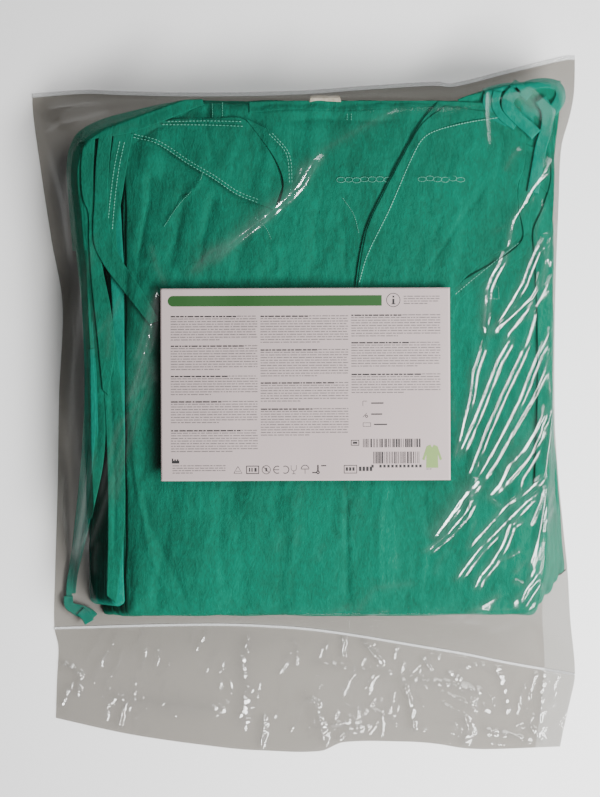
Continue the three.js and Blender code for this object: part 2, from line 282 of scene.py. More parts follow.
# A loop of even points through corners, smoothed round by a bell-shaped average of that reach.
def rounded(corners, count, reach):
    loop = np.vstack([corners, corners[:1]])
    length = np.r_[0, np.cumsum(np.linalg.norm(np.diff(loop, axis=0), axis=1))]
    even = np.arange(count) / count * length[-1]
    p = np.stack([np.interp(even, length, loop[:, c]) for c in (0, 1)], 1)
    steps = np.minimum(np.arange(count), count - np.arange(count)) * length[-1] / count
    bell = np.exp(-0.5 * (steps / reach) ** 2)
    return np.fft.ifft(np.fft.fft(p, axis=0) * np.fft.fft(bell / bell.sum())[:, None], axis=0).real


# Unit normals of a clockwise loop, pointing out of it.
def outward(loop):
    d = np.roll(loop, -1, 0) - np.roll(loop, 1, 0)
    n = np.stack([-d[:, 1], d[:, 0]], 1)
    return n / np.linalg.norm(n, axis=1)[:, None]


# Outline of gown k: its rounded corners, and a small wander of the folded edges.
def outline(k, count):
    p = rounded(gownCorners(k), count, stack["corner"])
    turn = np.arange(count) / count * 2 * np.pi
    wander = np.sin(7 * turn + 2.1 * k) + 0.6 * np.sin(17 * turn + 3.7 * k) + 0.4 * np.sin(31 * turn + k)
    return p + outward(p) * (wander * stack["ripple"] - 0.4)[:, None]


# How far a place lies inside a loop, negative outside it: the distance to the nearest edge, with
# its sign from how many edges a level line crosses.
def insideOf(loop, x, y):
    shape = x.shape
    x, y = x.ravel(), y.ravel()
    far = np.full(x.shape, 1e9)
    inside = np.zeros(x.shape, bool)
    for p, q in zip(loop, np.roll(loop, -1, 0)):
        e = q - p
        t = np.clip(((x - p[0]) * e[0] + (y - p[1]) * e[1]) / (e @ e), 0, 1)
        far = np.minimum(far, np.hypot(x - p[0] - t * e[0], y - p[1] - t * e[1]))
        if e[1]:
            inside ^= ((p[1] > y) != (q[1] > y)) & (x < p[0] + (y - p[1]) * e[0] / e[1])
    return np.where(inside, far, -far).reshape(shape)


# What holds the film up: the top gown with its pleats on the left and the tied tapes in its cut
# corner. The distances inside it are kept in tables with a value every two millimetres.
supportCorners = np.array([
    (-142, -155), (-151, -130), (-155, -40), (-156, 40), (-159, 100), (-166, 170), (-162, 188),
    (-146, 200), (-84, 223), (118, 224), (150, 233), (182, 236), (190, 230), (188, 214),
    (183, 190), (182, 130), (181, -10), (177, -120), (170, -153),
], float)
tableStep = 2.0
tableX = np.arange(-216, 217, tableStep)
tableY = np.arange(-270, 271, tableStep)
tablePlaces = np.meshgrid(tableX, tableY, indexing="ij")
gownInside = insideOf(outline(10, 300), *tablePlaces)
supportInside = insideOf(rounded(supportCorners, 260, 5.0), *tablePlaces)


# Value of a table between its points, weighted by nearness.
def lookUp(table, x, y):
    i = np.clip((x - tableX[0]) / tableStep, 0, len(tableX) - 1.001)
    j = np.clip((y - tableY[0]) / tableStep, 0, len(tableY) - 1.001)
    a, b = i.astype(int), j.astype(int)
    s, t = i - a, j - b
    low = mix(table[a, b], table[a + 1, b], s)
    return mix(low, mix(table[a, b + 1], table[a + 1, b + 1], s), t)


crown = dict(edge=40.4, rise=5.4, reach=50, shoulder=2.8, width=14.0)


# Height of the top gown's face by how far inside its edge a place is: a rounded shoulder, then a
# rise that dies away towards the middle.
def crownHeight(inside):
    shoulder = 1 - np.clip(inside / crown["width"], 0, 1)
    rise = crown["rise"] * (1 - np.exp(-np.maximum(inside, 0) / crown["reach"]))
    return crown["edge"] + rise - crown["shoulder"] * (1 - np.sqrt(1 - shoulder**2.4))


film = dict(clear=5.0, shift=5.0, seam=0.5, columns=312, rows=316)
knotCorner = dict(x=196, y=240, drop=16, reach=19)


# Height of the front film before its wrinkles. Over what holds it up it clears the cloth, at rest
# and shifted, and outside that it falls in a tent to the seams by its share of the way out.
def filmBase(x, y):
    inside = np.maximum(lookUp(supportInside, x, y), lookUp(supportInside, x + film["shift"], y))
    away = np.hypot(x - knotCorner["x"], y - knotCorner["y"]) / knotCorner["reach"]
    rest = crownHeight(np.maximum(inside, 0)) + film["clear"] - knotCorner["drop"] * np.exp(-away**2)
    out = np.maximum(-inside, 0)
    walls = [x - leftEdge(y), rightEdge(y) - x, topEdge(x) - 3.3 - y, y - mouthEdge(x) - 0.4]
    room = np.maximum(np.minimum.reduce(walls), 0)
    return mix(rest, film["seam"], out / np.maximum(out + room, 1e-6))


bigWaves, midWaves, smallWaves = softNoise(3), softNoise(5), softNoise(8)


# The cloth's own waves: long soft folds down the pack with smaller ones across them.
def waves(x, y):
    along, across = y + 0.18 * x, x - 0.12 * y
    left = ease((40 - x) / 120)
    return (0.7 + 0.75 * left) * bigWaves(across / 15, along / 75) + 0.4 * midWaves(across / 6, along / 26) \
        + 0.14 * smallWaves(across / 2.6, along / 7)


lowestDrape = 39.2
tuck = dict(x=166, y=222, reach=30, under=3.2, more=2.4)


# Where cloth lies: on the top gown's face, sloping away beside it but no lower than lowestDrape,
# and always under the film, at rest and shifted. It lies deeper under the film round the knot.
def drape(x, y):
    outside = np.maximum(-lookUp(gownInside, x, y), 0)
    face = crownHeight(np.maximum(lookUp(gownInside, x, y), 0)) + waves(x, y)
    near = np.exp(-((np.hypot(x - tuck["x"], y - tuck["y"]) / tuck["reach"]) ** 2))
    roof = np.minimum(filmBase(x, y), filmBase(x - film["shift"], y))
    under = roof - tuck["under"] - tuck["more"] * near
    return np.minimum(np.maximum(face - outside * np.where(x < 0, 0.12, 0.04), lowestDrape), under)


# One socket's value. Arithmetic on it adds Math nodes.
class Wire:
    def __init__(self, finish, socket):
        self.finish = finish
        self.socket = socket

    def reckon(self, operation, first, second):
        return self.finish.node("ShaderNodeMath", {"operation": operation}, {0: first, 1: second})

    def __add__(self, other):
        return self.reckon("ADD", self, other)

    def __radd__(self, other):
        return self.reckon("ADD", other, self)

    def __sub__(self, other):
        return self.reckon("SUBTRACT", self, other)

    def __rsub__(self, other):
        return self.reckon("SUBTRACT", other, self)

    def __mul__(self, other):
        return self.reckon("MULTIPLY", self, other)

    def __rmul__(self, other):
        return self.reckon("MULTIPLY", other, self)

    def __pow__(self, other):
        return self.reckon("POWER", self, other)

    def clamped(self, low=0.0, high=1.0):
        return self.finish.node("ShaderNodeClamp", {}, {"Value": self, "Min": low, "Max": high})

    # Nought at low and one at high, eased.
    def between(self, low, high):
        settings = {"interpolation_type": "SMOOTHSTEP"}
        sockets = {"Value": self, "From Min": low, "From Max": high}
        return self.finish.node("ShaderNodeMapRange", settings, sockets)


# One material, built node by node.
class Finish:
    def __init__(self, name):
        self.material = bpy.data.materials.new(name)
        self.material.use_nodes = True
        self.tree = self.material.node_tree
        self.tree.nodes.clear()
        self.end = self.tree.nodes.new("ShaderNodeOutputMaterial")

    def node(self, kind, settings=None, sockets=None, out=0):
        made = self.tree.nodes.new(kind)
        for key, value in (settings or {}).items():
            setattr(made, key, value)
        for key, value in (sockets or {}).items():
            if isinstance(value, Wire):
                self.tree.links.new(value.socket, made.inputs[key])
            else:
                made.inputs[key].default_value = value
        return Wire(self, made.outputs[out])

    # The object's own coordinates in millimetres, turned and stretched.
    def place(self, scale=(1, 1, 1), turn=0.0):
        middle = self.node("ShaderNodeTexCoord", out="Object")
        size = tuple(1000.0 * s for s in scale)
        return self.node("ShaderNodeMapping", {}, {"Vector": middle, "Rotation": (0, 0, turn), "Scale": size})

    # Noise with features about as wide as size millimetres.
    def noise(self, size, detail=3.0, rough=0.5, scale=(1, 1, 1), turn=0.0, warp=0.0):
        sockets = {"Vector": self.place(scale, turn), "Scale": 1 / size, "Detail": detail}
        return self.node("ShaderNodeTexNoise", {}, sockets | {"Roughness": rough, "Distortion": warp})

    def blend(self, share, first, second):
        return self.node("ShaderNodeMix", {"data_type": "RGBA"}, {0: share, 6: first, 7: second}, out=2)

    def bump(self, height, strength, distance):
        sockets = {"Height": height, "Strength": strength, "Distance": distance * mm}
        return self.node("ShaderNodeBump", {}, sockets)

    def surface(self, **sockets):
        names = {key.replace("_", " "): value for key, value in sockets.items()}
        return self.node("ShaderNodeBsdfPrincipled", {}, names)

    def show(self, shader):
        self.tree.links.new(shader.socket, self.end.inputs["Surface"])
        return self.material


# Nonwoven cloth: two greens in soft blotches, long crepe wrinkles, and a grain of bonded points.
def clothFinish(name, deep, bright, crepe=1.0):
    f = Finish(name)
    blotch = f.noise(34, 4.0, 0.6, scale=(1, 0.5, 1)).between(0.34, 0.68)
    long = f.noise(5.0, 5.0, 0.62, scale=(1, 0.45, 1), turn=0.1, warp=0.7)
    fine = f.noise(1.5, 4.0, 0.6, scale=(1, 0.45, 1), warp=0.4)
    dots = {"Vector": f.place(), "Scale": 0.75}
    bond = f.node("ShaderNodeTexVoronoi", {"feature": "F1"}, dots, out="Distance")
    shade = (blotch * 0.32 + long.between(0.3, 0.72) * 0.38 + fine.between(0.3, 0.7) * 0.3).clamped()
    height = long * 0.75 + fine * 0.34 + bond.between(0.05, 0.6) * 0.07
    rough = 0.7 + fine * 0.2
    colour = f.blend(shade, deep, bright)
    normal = f.bump(height, 0.62 * crepe, 1.5)
    return f.show(f.surface(Base_Color=colour, Roughness=rough, Normal=normal, Specular_IOR_Level=0.12))


# Clear film: tinted and see-through, mixed with a bright gloss by how steeply it is seen and by how sharply
# it is creased.
# The crease share is partly the whitening of stressed film and partly painted highlight that keeps wrinkle
# crests white where no lamp glints.
def filmFinish(name, tint, haze, crinkle, metal=0.85):
    f = Finish(name)
    lines = f.noise(10, 4.0, 0.55, scale=(1, 0.35, 1), turn=-0.42, warp=0.5)
    fine = f.noise(3.2, 3.0, 0.5)
    # The crease attribute: partly stress whitening, partly painted highlight along the wrinkle crests.
    crease_whitening_and_painted_highlight = f.node("ShaderNodeAttribute", {"attribute_name": "crease"}, out="Fac")
    normal = f.bump(lines + fine * 0.2, crinkle, 1.4)
    grazing = f.node("ShaderNodeLayerWeight", {}, {"Blend": 0.2, "Normal": normal}, out="Facing")
    share = (haze + grazing**2 * 0.16 + crease_whitening_and_painted_highlight * 0.14).clamped(0.0, 0.8)
    skin = f.surface(Base_Color=(0.86, 0.87, 0.87, 1), Metallic=metal, Roughness=0.12, Normal=normal)
    clear = f.node("ShaderNodeBsdfTransparent", {}, {"Color": tint})
    return f.show(f.node("ShaderNodeMixShader", {}, {0: share, 1: clear, 2: skin}))


# Paper and ink: a fine grain in the colour and a slight tooth.
def paperFinish(name, colour, rough=0.55):
    f = Finish(name)
    grain = f.noise(1.1, 3.0, 0.6)
    soft = f.noise(60, 2.0, 0.5)
    base = f.blend((grain * 0.6 + soft * 0.4).clamped(), tuple(c * 0.9 for c in colour[:3]) + (1,), colour)
    return f.show(f.surface(Base_Color=base, Roughness=rough, Normal=f.bump(grain, 0.1, 0.2)))


looks = dict(
    gown=clothFinish("nonwoven_green", (0.0, 0.072, 0.043, 1), (0.0, 0.15, 0.094, 1)),
    tie=clothFinish("tie_tape_green", (0.0, 0.1, 0.07, 1), (0.0, 0.2, 0.14, 1), 0.7),
    thread=clothFinish("pale_thread", (0.05, 0.3, 0.22, 1), (0.14, 0.45, 0.35, 1), 0.4),
    tab=clothFinish("undyed_tab", (0.25, 0.22, 0.16, 1), (0.5, 0.47, 0.4, 1), 0.8),
    front=filmFinish("film_clear", (0.95, 0.945, 0.93, 1), 0.016, 0.12),
    back=filmFinish("film_under", (0.53, 0.515, 0.495, 1), 0.03, 0.1),
    side=filmFinish("film_side", (0.64, 0.632, 0.62, 1), 0.05, 0.1),
    weld=filmFinish("film_weld", (0.92, 0.92, 0.92, 1), 0.3, 0.2, 0.1),
    paper=paperFinish("label_paper", (0.44, 0.36, 0.355, 1)),
    inkGreen=paperFinish("label_ink_green", (0.009, 0.068, 0.006, 1)),
    inkPale=paperFinish("label_ink_pale_green", (0.2, 0.31, 0.09, 1)),
    inkDark=paperFinish("label_ink_dark", (0.015, 0.014, 0.015, 1)),
    inkGrey=paperFinish("label_ink_grey", (0.14, 0.12, 0.12, 1)),
)
print("finishes made")


def finished(thing, look, body, slot, *nodes):
    thing.data.materials.append(looks[look])
    if body:
        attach(thing, body)
    if nodes:
        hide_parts(*nodes)
    return thing


# A folded gown under the top one: rings round its outline make the rolled edges of its plies,
# and a lid closes it above and below. An edge pulls in towards its top and bottom.
def lowerGown(k, count=420):
    loop = outline(k, count)
    normal = outward(loop)
    t = np.linspace(0, 1, 21)
    turn = np.arange(count) / count * 2 * np.pi
    pull = -1.3 * np.abs(2 * t - 1) ** 2.4
    roll = 0.34 * np.sin(np.pi * stack["rolls"] * t) ** 2
    slip = 0.5 * np.sin(5 * turn[None] + 9 * t[:, None] + k) * np.sin(3 * turn[None] - 5 * t[:, None])
    push = (pull + roll)[:, None] + slip * roll[:, None] * 2
    side = loop[None] + normal[None] * push[..., None]
    lids = [loop - normal * inset for inset in (26, 12, 4)]
    plan = np.concatenate([np.array(lids), side, np.array(lids[::-1])])
    height = np.r_[np.zeros(3), t, np.ones(3)] * stack["thick"] + gownBase(k)
    points = np.concatenate([plan, np.broadcast_to(height[:, None, None], plan.shape[:2] + (1,))], -1)
    return capped(f"gown_{k:02d}_cloth", points, height[0], height[-1])


# Rings of points from below to above, closed with a fan at each end.
def capped(name, rings, low, high):
    rows, count = rings.shape[:2]
    centre = rings[0, :, :2].mean(0), rings[-1, :, :2].mean(0)
    points = np.vstack([rings.reshape(-1, 3), [[*centre[0], low], [*centre[1], high]]])
    j = np.arange(count)
    start, last = rows * count, (rows - 1) * count
    under = np.stack([np.full(count, start), j, (j + 1) % count], 1)
    over = np.stack([np.full(count, start + 1), last + (j + 1) % count, last + j], 1)
    return closed(buildMesh(name, points, gridFaces(rows, count, wrapColumns=True), np.vstack([under, over])))


for k in range(1, 10):
    body = finished(lowerGown(k), "gown", f"gown_{k:02d}", "gown_fabric", f"gown_{k:02d}_body")
print("nine folded gowns")

# Creases pressed into the top gown's face: points, height and width; a negative height is a valley.
faceCreases = [
    ([(-125, 192), (-106, 187), (-83, 172), (-66, 162), (-48, 150), (-30, 143)], -0.9, 2.2),
    ([(-73, 172), (-76, 162), (-92, 144), (-102, 129)], 0.5, 1.2),
    ([(-112, 172), (-113, 150), (-117, 128), (-122, 100)], -1.3, 5),
    ([(-88, 160), (-90, 135), (-96, 112), (-98, 95)], -0.9, 5),
    ([(-66, 155), (-69, 138), (-74, 118), (-76, 100)], -1.1, 4.5),
    ([(-128, 160), (-132, 130), (-131, 104), (-118, 84)], -1.2, 4),
    ([(-42, 132), (-46, 112), (-50, 92)], -0.5, 4),
    ([(-22, 120), (-18, 104), (-20, 90)], 0.5, 3),
    ([(12, 150), (8, 128), (9, 96)], -0.5, 4),
    ([(26, 140), (30, 118), (30, 92)], -0.5, 3.5),
    ([(-71, 220), (-70, 210), (-69, 199)], -0.8, 1.2),
    ([(-94, 208), (-70, 208.5), (-46, 207)], 0.5, 1.2),
    ([(-40, 212), (0, 214), (40, 213), (80, 218)], 0.5, 2.2),
    ([(-20, 205), (10, 208), (50, 206), (78, 208)], -0.5, 2.5),
    ([(-140, -20), (-132, -70), (-128, -120), (-126, -150)], -1.0, 3.5),
    ([(-136, 40), (-128, 0), (-124, -50), (-112, -110), (-98, -146)], 0.6, 2.5),
    ([(-118, -60), (-112, -90), (-92, -130), (-84, -150)], -0.6, 3),
    ([(-60, -60), (-62, -100), (-58, -140)], -0.5, 4),
    ([(-10, -62), (-8, -100), (-14, -146)], 0.45, 3),
    ([(31, -60), (31, -104), (32, -148)], -0.8, 1.2),
    ([(58, -60), (54, -110), (58, -146)], 0.4, 2.5),
    ([(86, -60), (92, -100), (88, -146)], -0.5, 3),
    ([(170, 80), (166, 20), (168, -60), (164, -130)], -0.6, 3),
    ([(120, 60), (124, 10), (122, -60), (118, -120)], 0.45, 3),
    ([(146, 60), (150, 0), (146, -70), (148, -130)], -0.45, 3),
]

# The top gown: its rolled edge, then rings that close in on the middle of its face.
faceMiddle = np.array([20.0, 33.0])
topFace = dict(around=640, rings=148, crease=2.0, lowest=1.2)
loop = outline(10, topFace["around"])
edge = [loop - outward(loop) * inset for inset in (26, 12, 4, 0.9, 0.2)]
edgeLift = [0, 0, 0, 0.15, 0.8]
shares = 1 - np.linspace(0, 1, topFace["rings"])[:-1] ** 1.1
plan = np.concatenate([np.array(edge), faceMiddle + (loop - faceMiddle)[None] * shares[:, None, None]])
x, y = plan[..., 0], plan[..., 1]
depth = np.maximum(lookUp(gownInside, x, y), 0)
creases = topFace["crease"] * ridgeField(x, y, faceCreases) * ease(depth / 8)
height = crownHeight(depth) + waves(x, y) * ease(depth / 6) + creases
height = np.maximum(height, gownBase(10) + topFace["lowest"])
height[:5] = gownBase(10) + np.array(edgeLift)[:, None]
topGown = capped("gown_10_cloth", np.stack([x, y, height], -1), gownBase(10), height[-1].mean())
finished(topGown, "gown", "gown_10", "gown_fabric", "gown_10_body")
print("top gown")


# Shares from nought to one with a few stops inside the rounded rim at each end.
def rimStops(size, thick, count):
    rim = np.array([0, 0.12, 0.35, 0.7, 1.0]) * thick / 2 / size
    return np.r_[rim[:-1], np.linspace(rim[-1], 1 - rim[-1], count), 1 - rim[:-1][::-1]]


# A ply with rounded edges between two side curves. Its middle lies lift and half its thickness
# above the ground, and half the thickness grows over the rim as a quarter circle.
def ply(name, sideA, sideB, count, lift, thick=0.8, relief=(), ground=drape):
    steps = 160
    a, b = pathThrough(sideA, steps), pathThrough(sideB, steps)
    long = np.linalg.norm(np.diff((a + b) / 2, axis=0), axis=1).sum()
    wide = np.linalg.norm(a - b, axis=1)
    across, down = rimStops(wide.mean(), thick, count[0]), rimStops(long, thick, count[1])
    a, b, wide = [
        np.stack([np.interp(down * (steps - 1), np.arange(steps), c) for c in q.T], 1)
        for q in (a, b, wide[:, None])
    ]
    plan = a[:, None] + (b - a)[:, None] * across[None, :, None]
    x, y = plan[..., 0], plan[..., 1]
    toSide = np.minimum(across, 1 - across)[None] * wide
    toEdge = np.minimum(toSide, np.minimum(down, 1 - down)[:, None] * long)
    rim = np.clip(toEdge / (thick / 2), 0, 1)
    half = thick / 2 * np.sqrt(1 - (1 - rim) ** 2)
    middle = ground(x, y) + lift + thick / 2
    if relief:
        middle = middle + ridgeField(x, y, relief) * ease(toEdge / 5)
    return slab(name, x, y, middle - half, middle + half)


# A strap of one width along a path, laid on the ground.
def strap(name, path, width, lift, thick=1.0, ground=drape):
    p = pathThrough(path, 60)
    d = np.gradient(p, axis=0)
    side = np.stack([-d[:, 1], d[:, 0]], 1) / np.linalg.norm(d, axis=1)[:, None] * width / 2
    every = slice(0, 60, 4)
    long = np.linalg.norm(np.diff(p, axis=0), axis=1).sum()
    return ply(name, (p - side)[every], (p + side)[every], (8, int(long / 1.6)), lift, thick, ground=ground)


sleeveCreases = [
    ([(87, 152), (92, 138), (98, 123)], -0.6, 1.4),
    ([(102, 140), (97, 128), (92, 116)], -0.5, 1.2),
    ([(67, 136), (82, 128), (97, 117)], -0.45, 1.2),
    ([(138, 168), (128, 152), (116, 136), (100, 112), (83, 89)], -0.7, 1.3),
    ([(128, 196), (112, 176), (104, 160)], 0.4, 3),
    ([(146, 190), (140, 160), (138, 140)], -0.5, 3),
    ([(48, 90), (62, 92), (78, 88)], 0.4, 2),
]
yokeCreases = [
    ([(-100, 196), (-92, 186), (-84, 178)], -0.5, 2.5),
    ([(-73, 206), (-68, 190), (-66, 172)], -0.8, 3),
    ([(-46, 200), (-52, 184), (-60, 168)], 0.4, 4),
    ([(-30, 180), (-36, 166), (-40, 152)], -0.5, 3),
]
# Plies of the top gown: side curves, cells across and along, lift, thickness and creases. All take the gown's
# look; the CAD nodes of those in cadPlies are hidden.
plies = {
    "left_sleeve": dict(
        a=[(-128, 197), (-107, 189), (-84, 174), (-67, 164), (-49, 152), (-22, 141)],
        b=[(-106, 206), (-88, 208), (-66, 208), (-43, 207), (-22, 178), (-16, 158)],
        cells=(44, 90), lift=0.1, thick=1.4, relief=yokeCreases,
    ),
    "left_cuff": dict(
        a=[(-26, 200), (-20, 186), (-12, 172), (-9, 158), (-12, 146)],
        b=[(-43, 208), (-32, 194), (-20, 176), (-15, 160), (-19, 143)],
        cells=(10, 50), lift=1.45, thick=0.8,
    ),
    "left_shoulder": dict(
        a=[(-170, 112), (-173, 150), (-174, 178), (-168, 196), (-153, 206.5), (-127, 214.5), (-92, 221.5)],
        b=[(-138, 112), (-133, 150), (-128, 176), (-122, 188), (-112, 196), (-98, 202), (-78, 208)],
        cells=(40, 130), lift=-1.2, thick=1.2,
        relief=[
            ([(-172, 186), (-150, 190), (-130, 196)], -1.2, 2.0),
            ([(-168, 170), (-166, 140), (-164, 118)], -1.0, 1.6),
            ([(-160, 200), (-140, 204), (-112, 212)], 0.8, 2.4),
            ([(-152, 184), (-148, 160), (-147, 130)], -1.0, 2.0),
        ],
    ),
    "left_fold": dict(
        a=[(-165, 190), (-148, 194), (-128, 197), (-100, 207), (-73, 218)],
        b=[(-160, 203), (-143, 209), (-118, 216.5), (-95, 221), (-74, 222)],
        cells=(18, 70), lift=1.45, thick=1.2, relief=[([(-150, 202), (-120, 208), (-88, 218)], -0.4, 3)],
    ),
    "left_pleat_1": dict(
        a=[(-168, 196), (-171, 172), (-169, 130), (-165, 90), (-160, 50), (-158, 10), (-157, -40),
           (-158, -84)],
        b=[(-160, 198), (-160, 172), (-157, 130), (-154, 90), (-148, 50), (-145, 10), (-146, -40),
           (-155, -84)],
        cells=(16, 170), lift=-0.8, thick=1.2,
        relief=[([(-164, 176), (-162, 130), (-157, 80), (-152, 20), (-150, -50)], -1.0, 1.6)],
    ),
    "left_pleat_2": dict(
        a=[(-160, 199), (-163, 172), (-161.5, 150), (-157.5, 139), (-157, 118), (-155, 88), (-151, 50),
           (-147, 10)],
        b=[(-152, 200), (-153.5, 172), (-153, 150), (-150.5, 130), (-147, 100), (-141, 70), (-138, 40),
           (-143, 6)],
        cells=(12, 130), lift=0.3, thick=1.2,
    ),
    "left_pleat_3": dict(
        a=[(-149, 203), (-152, 174), (-153, 150), (-153.5, 118), (-146, 101), (-131, 81), (-113, 58)],
        b=[(-139, 203), (-142, 174), (-143, 149), (-141, 124), (-133, 105), (-119, 84), (-105, 60)],
        cells=(12, 110), lift=1.4, thick=1.3,
    ),
    "left_pleat_4": dict(
        a=[(-138, 204), (-142, 174), (-144, 149), (-145, 124), (-138, 98)],
        b=[(-124, 200), (-129, 174), (-133, 149), (-137, 128), (-135, 102)],
        cells=(12, 90), lift=0.3, thick=1.2,
    ),
    "left_pleat_5": dict(
        a=[(-156, 100), (-152, 60), (-147, 20), (-144, -30), (-143, -90), (-144, -140)],
        b=[(-147, 100), (-140, 60), (-134, 20), (-131, -30), (-131, -90), (-137, -146)],
        cells=(14, 170), lift=-0.4, thick=1.2,
        relief=[([(-148, 70), (-141, 10), (-138, -60), (-139, -120)], -0.9, 1.5)],
    ),
    "corner_wad": dict(
        a=[(112, 222), (128, 228), (146, 233), (168, 236.5), (189, 237.5)],
        b=[(116, 206), (132, 194), (150, 180), (166, 164), (180, 151)],
        cells=(76, 80), lift=-0.6, thick=1.2,
        relief=[
            ([(160, 228), (172, 214), (186, 196)], -1.5, 2.2),
            ([(162, 229), (178, 222), (190, 212)], -1.4, 2.0),
            ([(158, 224), (166, 206), (174, 184)], -1.5, 2.2),
            ([(154, 226), (140, 222), (122, 222)], -1.2, 2.0),
            ([(160, 232), (176, 232), (190, 228)], 1.0, 2.2),
            ([(152, 220), (138, 212), (124, 210)], 0.9, 2.5),
            ([(184, 214), (184, 196), (182, 176)], 1.2, 2.5),
            ([(172, 204), (178, 190), (180, 172)], 1.0, 2.0),
        ],
    ),
    "right_sleeve": dict(
        a=[(98, 221), (85, 205), (70, 179), (57, 154), (46, 131), (41, 112), (37, 84), (36, 66)],
        b=[(150, 219), (161, 199), (161, 174), (156, 159), (156, 145), (157, 122), (130, 103), (98, 72)],
        cells=(72, 120), lift=0.1, thick=1.5, relief=sleeveCreases,
    ),
    "opening_hem": dict(
        a=[(103, 217), (86, 203.5), (71, 178), (58, 153), (47, 130), (42.5, 111), (38.5, 84)],
        b=[(148, 211), (116, 205.5), (92, 198), (83, 189), (62.5, 140), (47.5, 108), (41.5, 84)],
        cells=(14, 130), lift=1.55, thick=0.8,
    ),
    "right_cuff": dict(
        a=[(161, 190), (160.5, 174), (156, 159), (156, 145), (158, 118), (108, 84), (99, 66)],
        b=[(170, 186), (171, 170), (167, 150), (164, 130), (165, 112), (116, 78), (108, 62)],
        cells=(12, 120), lift=0.2, thick=1.2,
    ),
    "right_pleat": dict(
        a=[(176, 196), (180, 166), (174, 143), (167, 126), (168, 106), (170, 60), (170, 0), (168, -60)],
        b=[(182, 196), (183, 166), (182, 143), (181, 126), (181, 106), (180.5, 60), (180, 0), (176, -60)],
        cells=(10, 150), lift=0.2, thick=1.3,
    ),
    "neck_binding": dict(
        a=[(-40, 212), (-10, 214.5), (30, 214), (70, 216), (100, 217)],
        b=[(-40, 220), (-10, 221), (30, 221), (70, 221), (112, 221)],
        cells=(10, 110), lift=0.15, thick=0.7,
    ),
}


leastShare = 0.31


# Works out a folded piece of the top gown's flat size from its length and the area that its mesh has in plan,
# which is half the surface of a closed ply, and an area never under leastShare of that flat size. It is never
# declared under leastShare of its flat size. Nothing keeps these values.
def laid(thing, long):
    faces = np.zeros(len(thing.data.polygons), np.float32)
    thing.data.polygons.foreach_get("area", faces)
    plan = float(faces.sum()) / 2
    flat = (max(plan / (long * mm), 0.01), max(long * mm, 0.01))
    area = max(plan, leastShare * flat[0] * flat[1])


cadPlies = ("left_sleeve", "left_cuff", "right_sleeve", "right_cuff", "opening_hem", "neck_binding")
for name, p in plies.items():
    thick = p.get("thick", 0.8)
    made = ply(f"gown_10_{name}_cloth", p["a"], p["b"], p["cells"], p["lift"], thick, p.get("relief", ()))
    finished(made, "gown", "gown_10", "gown_fabric", *([f"gown_10_{name}"] if name in cadPlies else []))
    a, b = pathThrough(p["a"], 60), pathThrough(p["b"], 60)
    long = np.linalg.norm(np.diff((a + b) / 2, axis=0), axis=1).sum()
    laid(made, long)
print("plies of the top gown")


# Ties, as distances from their own gown for the bottom gown and the top one: waist ties as
# (height, stand-off below, stand-off above), neck ties as shares of the cut corner and its depth.
waistTieRun = [
    (188, 3.6, 4.6), (120, 1.4, 1.8), (60, 0.4, 0.4), (0, 0.4, 0.4), (-60, 0.6, 0.6),
    (-115, 1.2, 1.0), (-138, 1.6, 1.2), (-148, 1.2, 1),
]
neckTieRun = [
    (0.2, 0, 0), (0.5, 0, 0), (0.775, 0.07, 0.06), (0.86, 0.3, 0.2), (0.79, 0.7, 0.5),
    (0.64, 0.95, 0.68), (0.43, 0.82, 0.52),
]
tape = dict(width=9.0, thick=1.2, neckSeat=0.4, section=16, sway=0.9, inset=0.35)


def waistTiePath(k):
    low, high = gownCorners(k)[:2]
    height, below, above = np.array(waistTieRun, float).T
    side = mix(low[0], high[0], (height - low[1]) / (high[1] - low[1]))
    return np.stack([side - mix(below, above, lean(k)) - tape["width"] / 2, height], 1)


def neckTiePath(k):
    start, end = gownCorners(k)[3:5]
    cut = end - start
    out = np.array([-cut[1], cut[0]]) / np.hypot(*cut)
    share, below, above = np.array(neckTieRun, float).T
    rise = mix(below, above, lean(k)) * (cut[0] * out[0] - tape["width"])
    offset = tape["neckSeat"] + tape["width"] / 2 + rise
    return start + cut * share[:, None] + out * offset[:, None]


# A folded tape along a path between two heights. Its section is a flattened round that widens,
# narrows and rolls from side to side in soft noise, and its ends close in.
def tapeLoop(name, path, width, low, high, steps, thick, sway, seed):
    p = pathThrough(path, steps)
    d = np.gradient(p, axis=0)
    side = np.stack([-d[:, 1], d[:, 0]], 1) / np.linalg.norm(d, axis=1)[:, None]
    t = np.linspace(0, 1, steps)
    noise = softNoise(seed)
    roll = sway * noise(t * 9, t * 0) * (high - low - thick) / 2
    around = np.arange(tape["section"]) / tape["section"] * 2 * np.pi
    taper = np.sqrt(np.clip(np.minimum(t, 1 - t) * steps / 1.5, 0.02, 1))
    reach = width / 2 * (1 + 0.14 * noise(t * 11, t * 0 + 5)) * taper
    cosine = np.sign(np.cos(around)) * np.abs(np.cos(around)) ** 0.7
    plan = p[:, None] + side[:, None] * (reach[:, None] * cosine[None])[..., None]
    height = (low + high) / 2 + roll[:, None] * cosine[None]
    height = height + (thick / 2 * taper)[:, None] * np.sin(around)[None]
    height = height + 0.12 * noise(plan[..., 0] / 2.5, plan[..., 1] / 5)
    return capped(name, np.concatenate([plan, height[..., None]], -1), (low + high) / 2, (low + high) / 2)


for k in range(1, 11):
    low, high = gownBase(k) + tape["inset"], gownBase(k) + stack["thick"] - tape["inset"]
    for kind, path in (("waist", waistTiePath(k)), ("neck", neckTiePath(k))):
        long = np.linalg.norm(np.diff(path, axis=0), axis=1).sum()
        name = f"gown_{k:02d}_{kind}_tie"
        seed = 40 + 2 * k + (kind == "neck")
        sizes = (tape["width"], low, high, int(long / 2), tape["thick"], tape["sway"], seed)
        made = tapeLoop(f"{name}_tape", path, *sizes)
        finished(made, "tie", f"gown_{k:02d}", "tie_fabric", name)
print("ties")

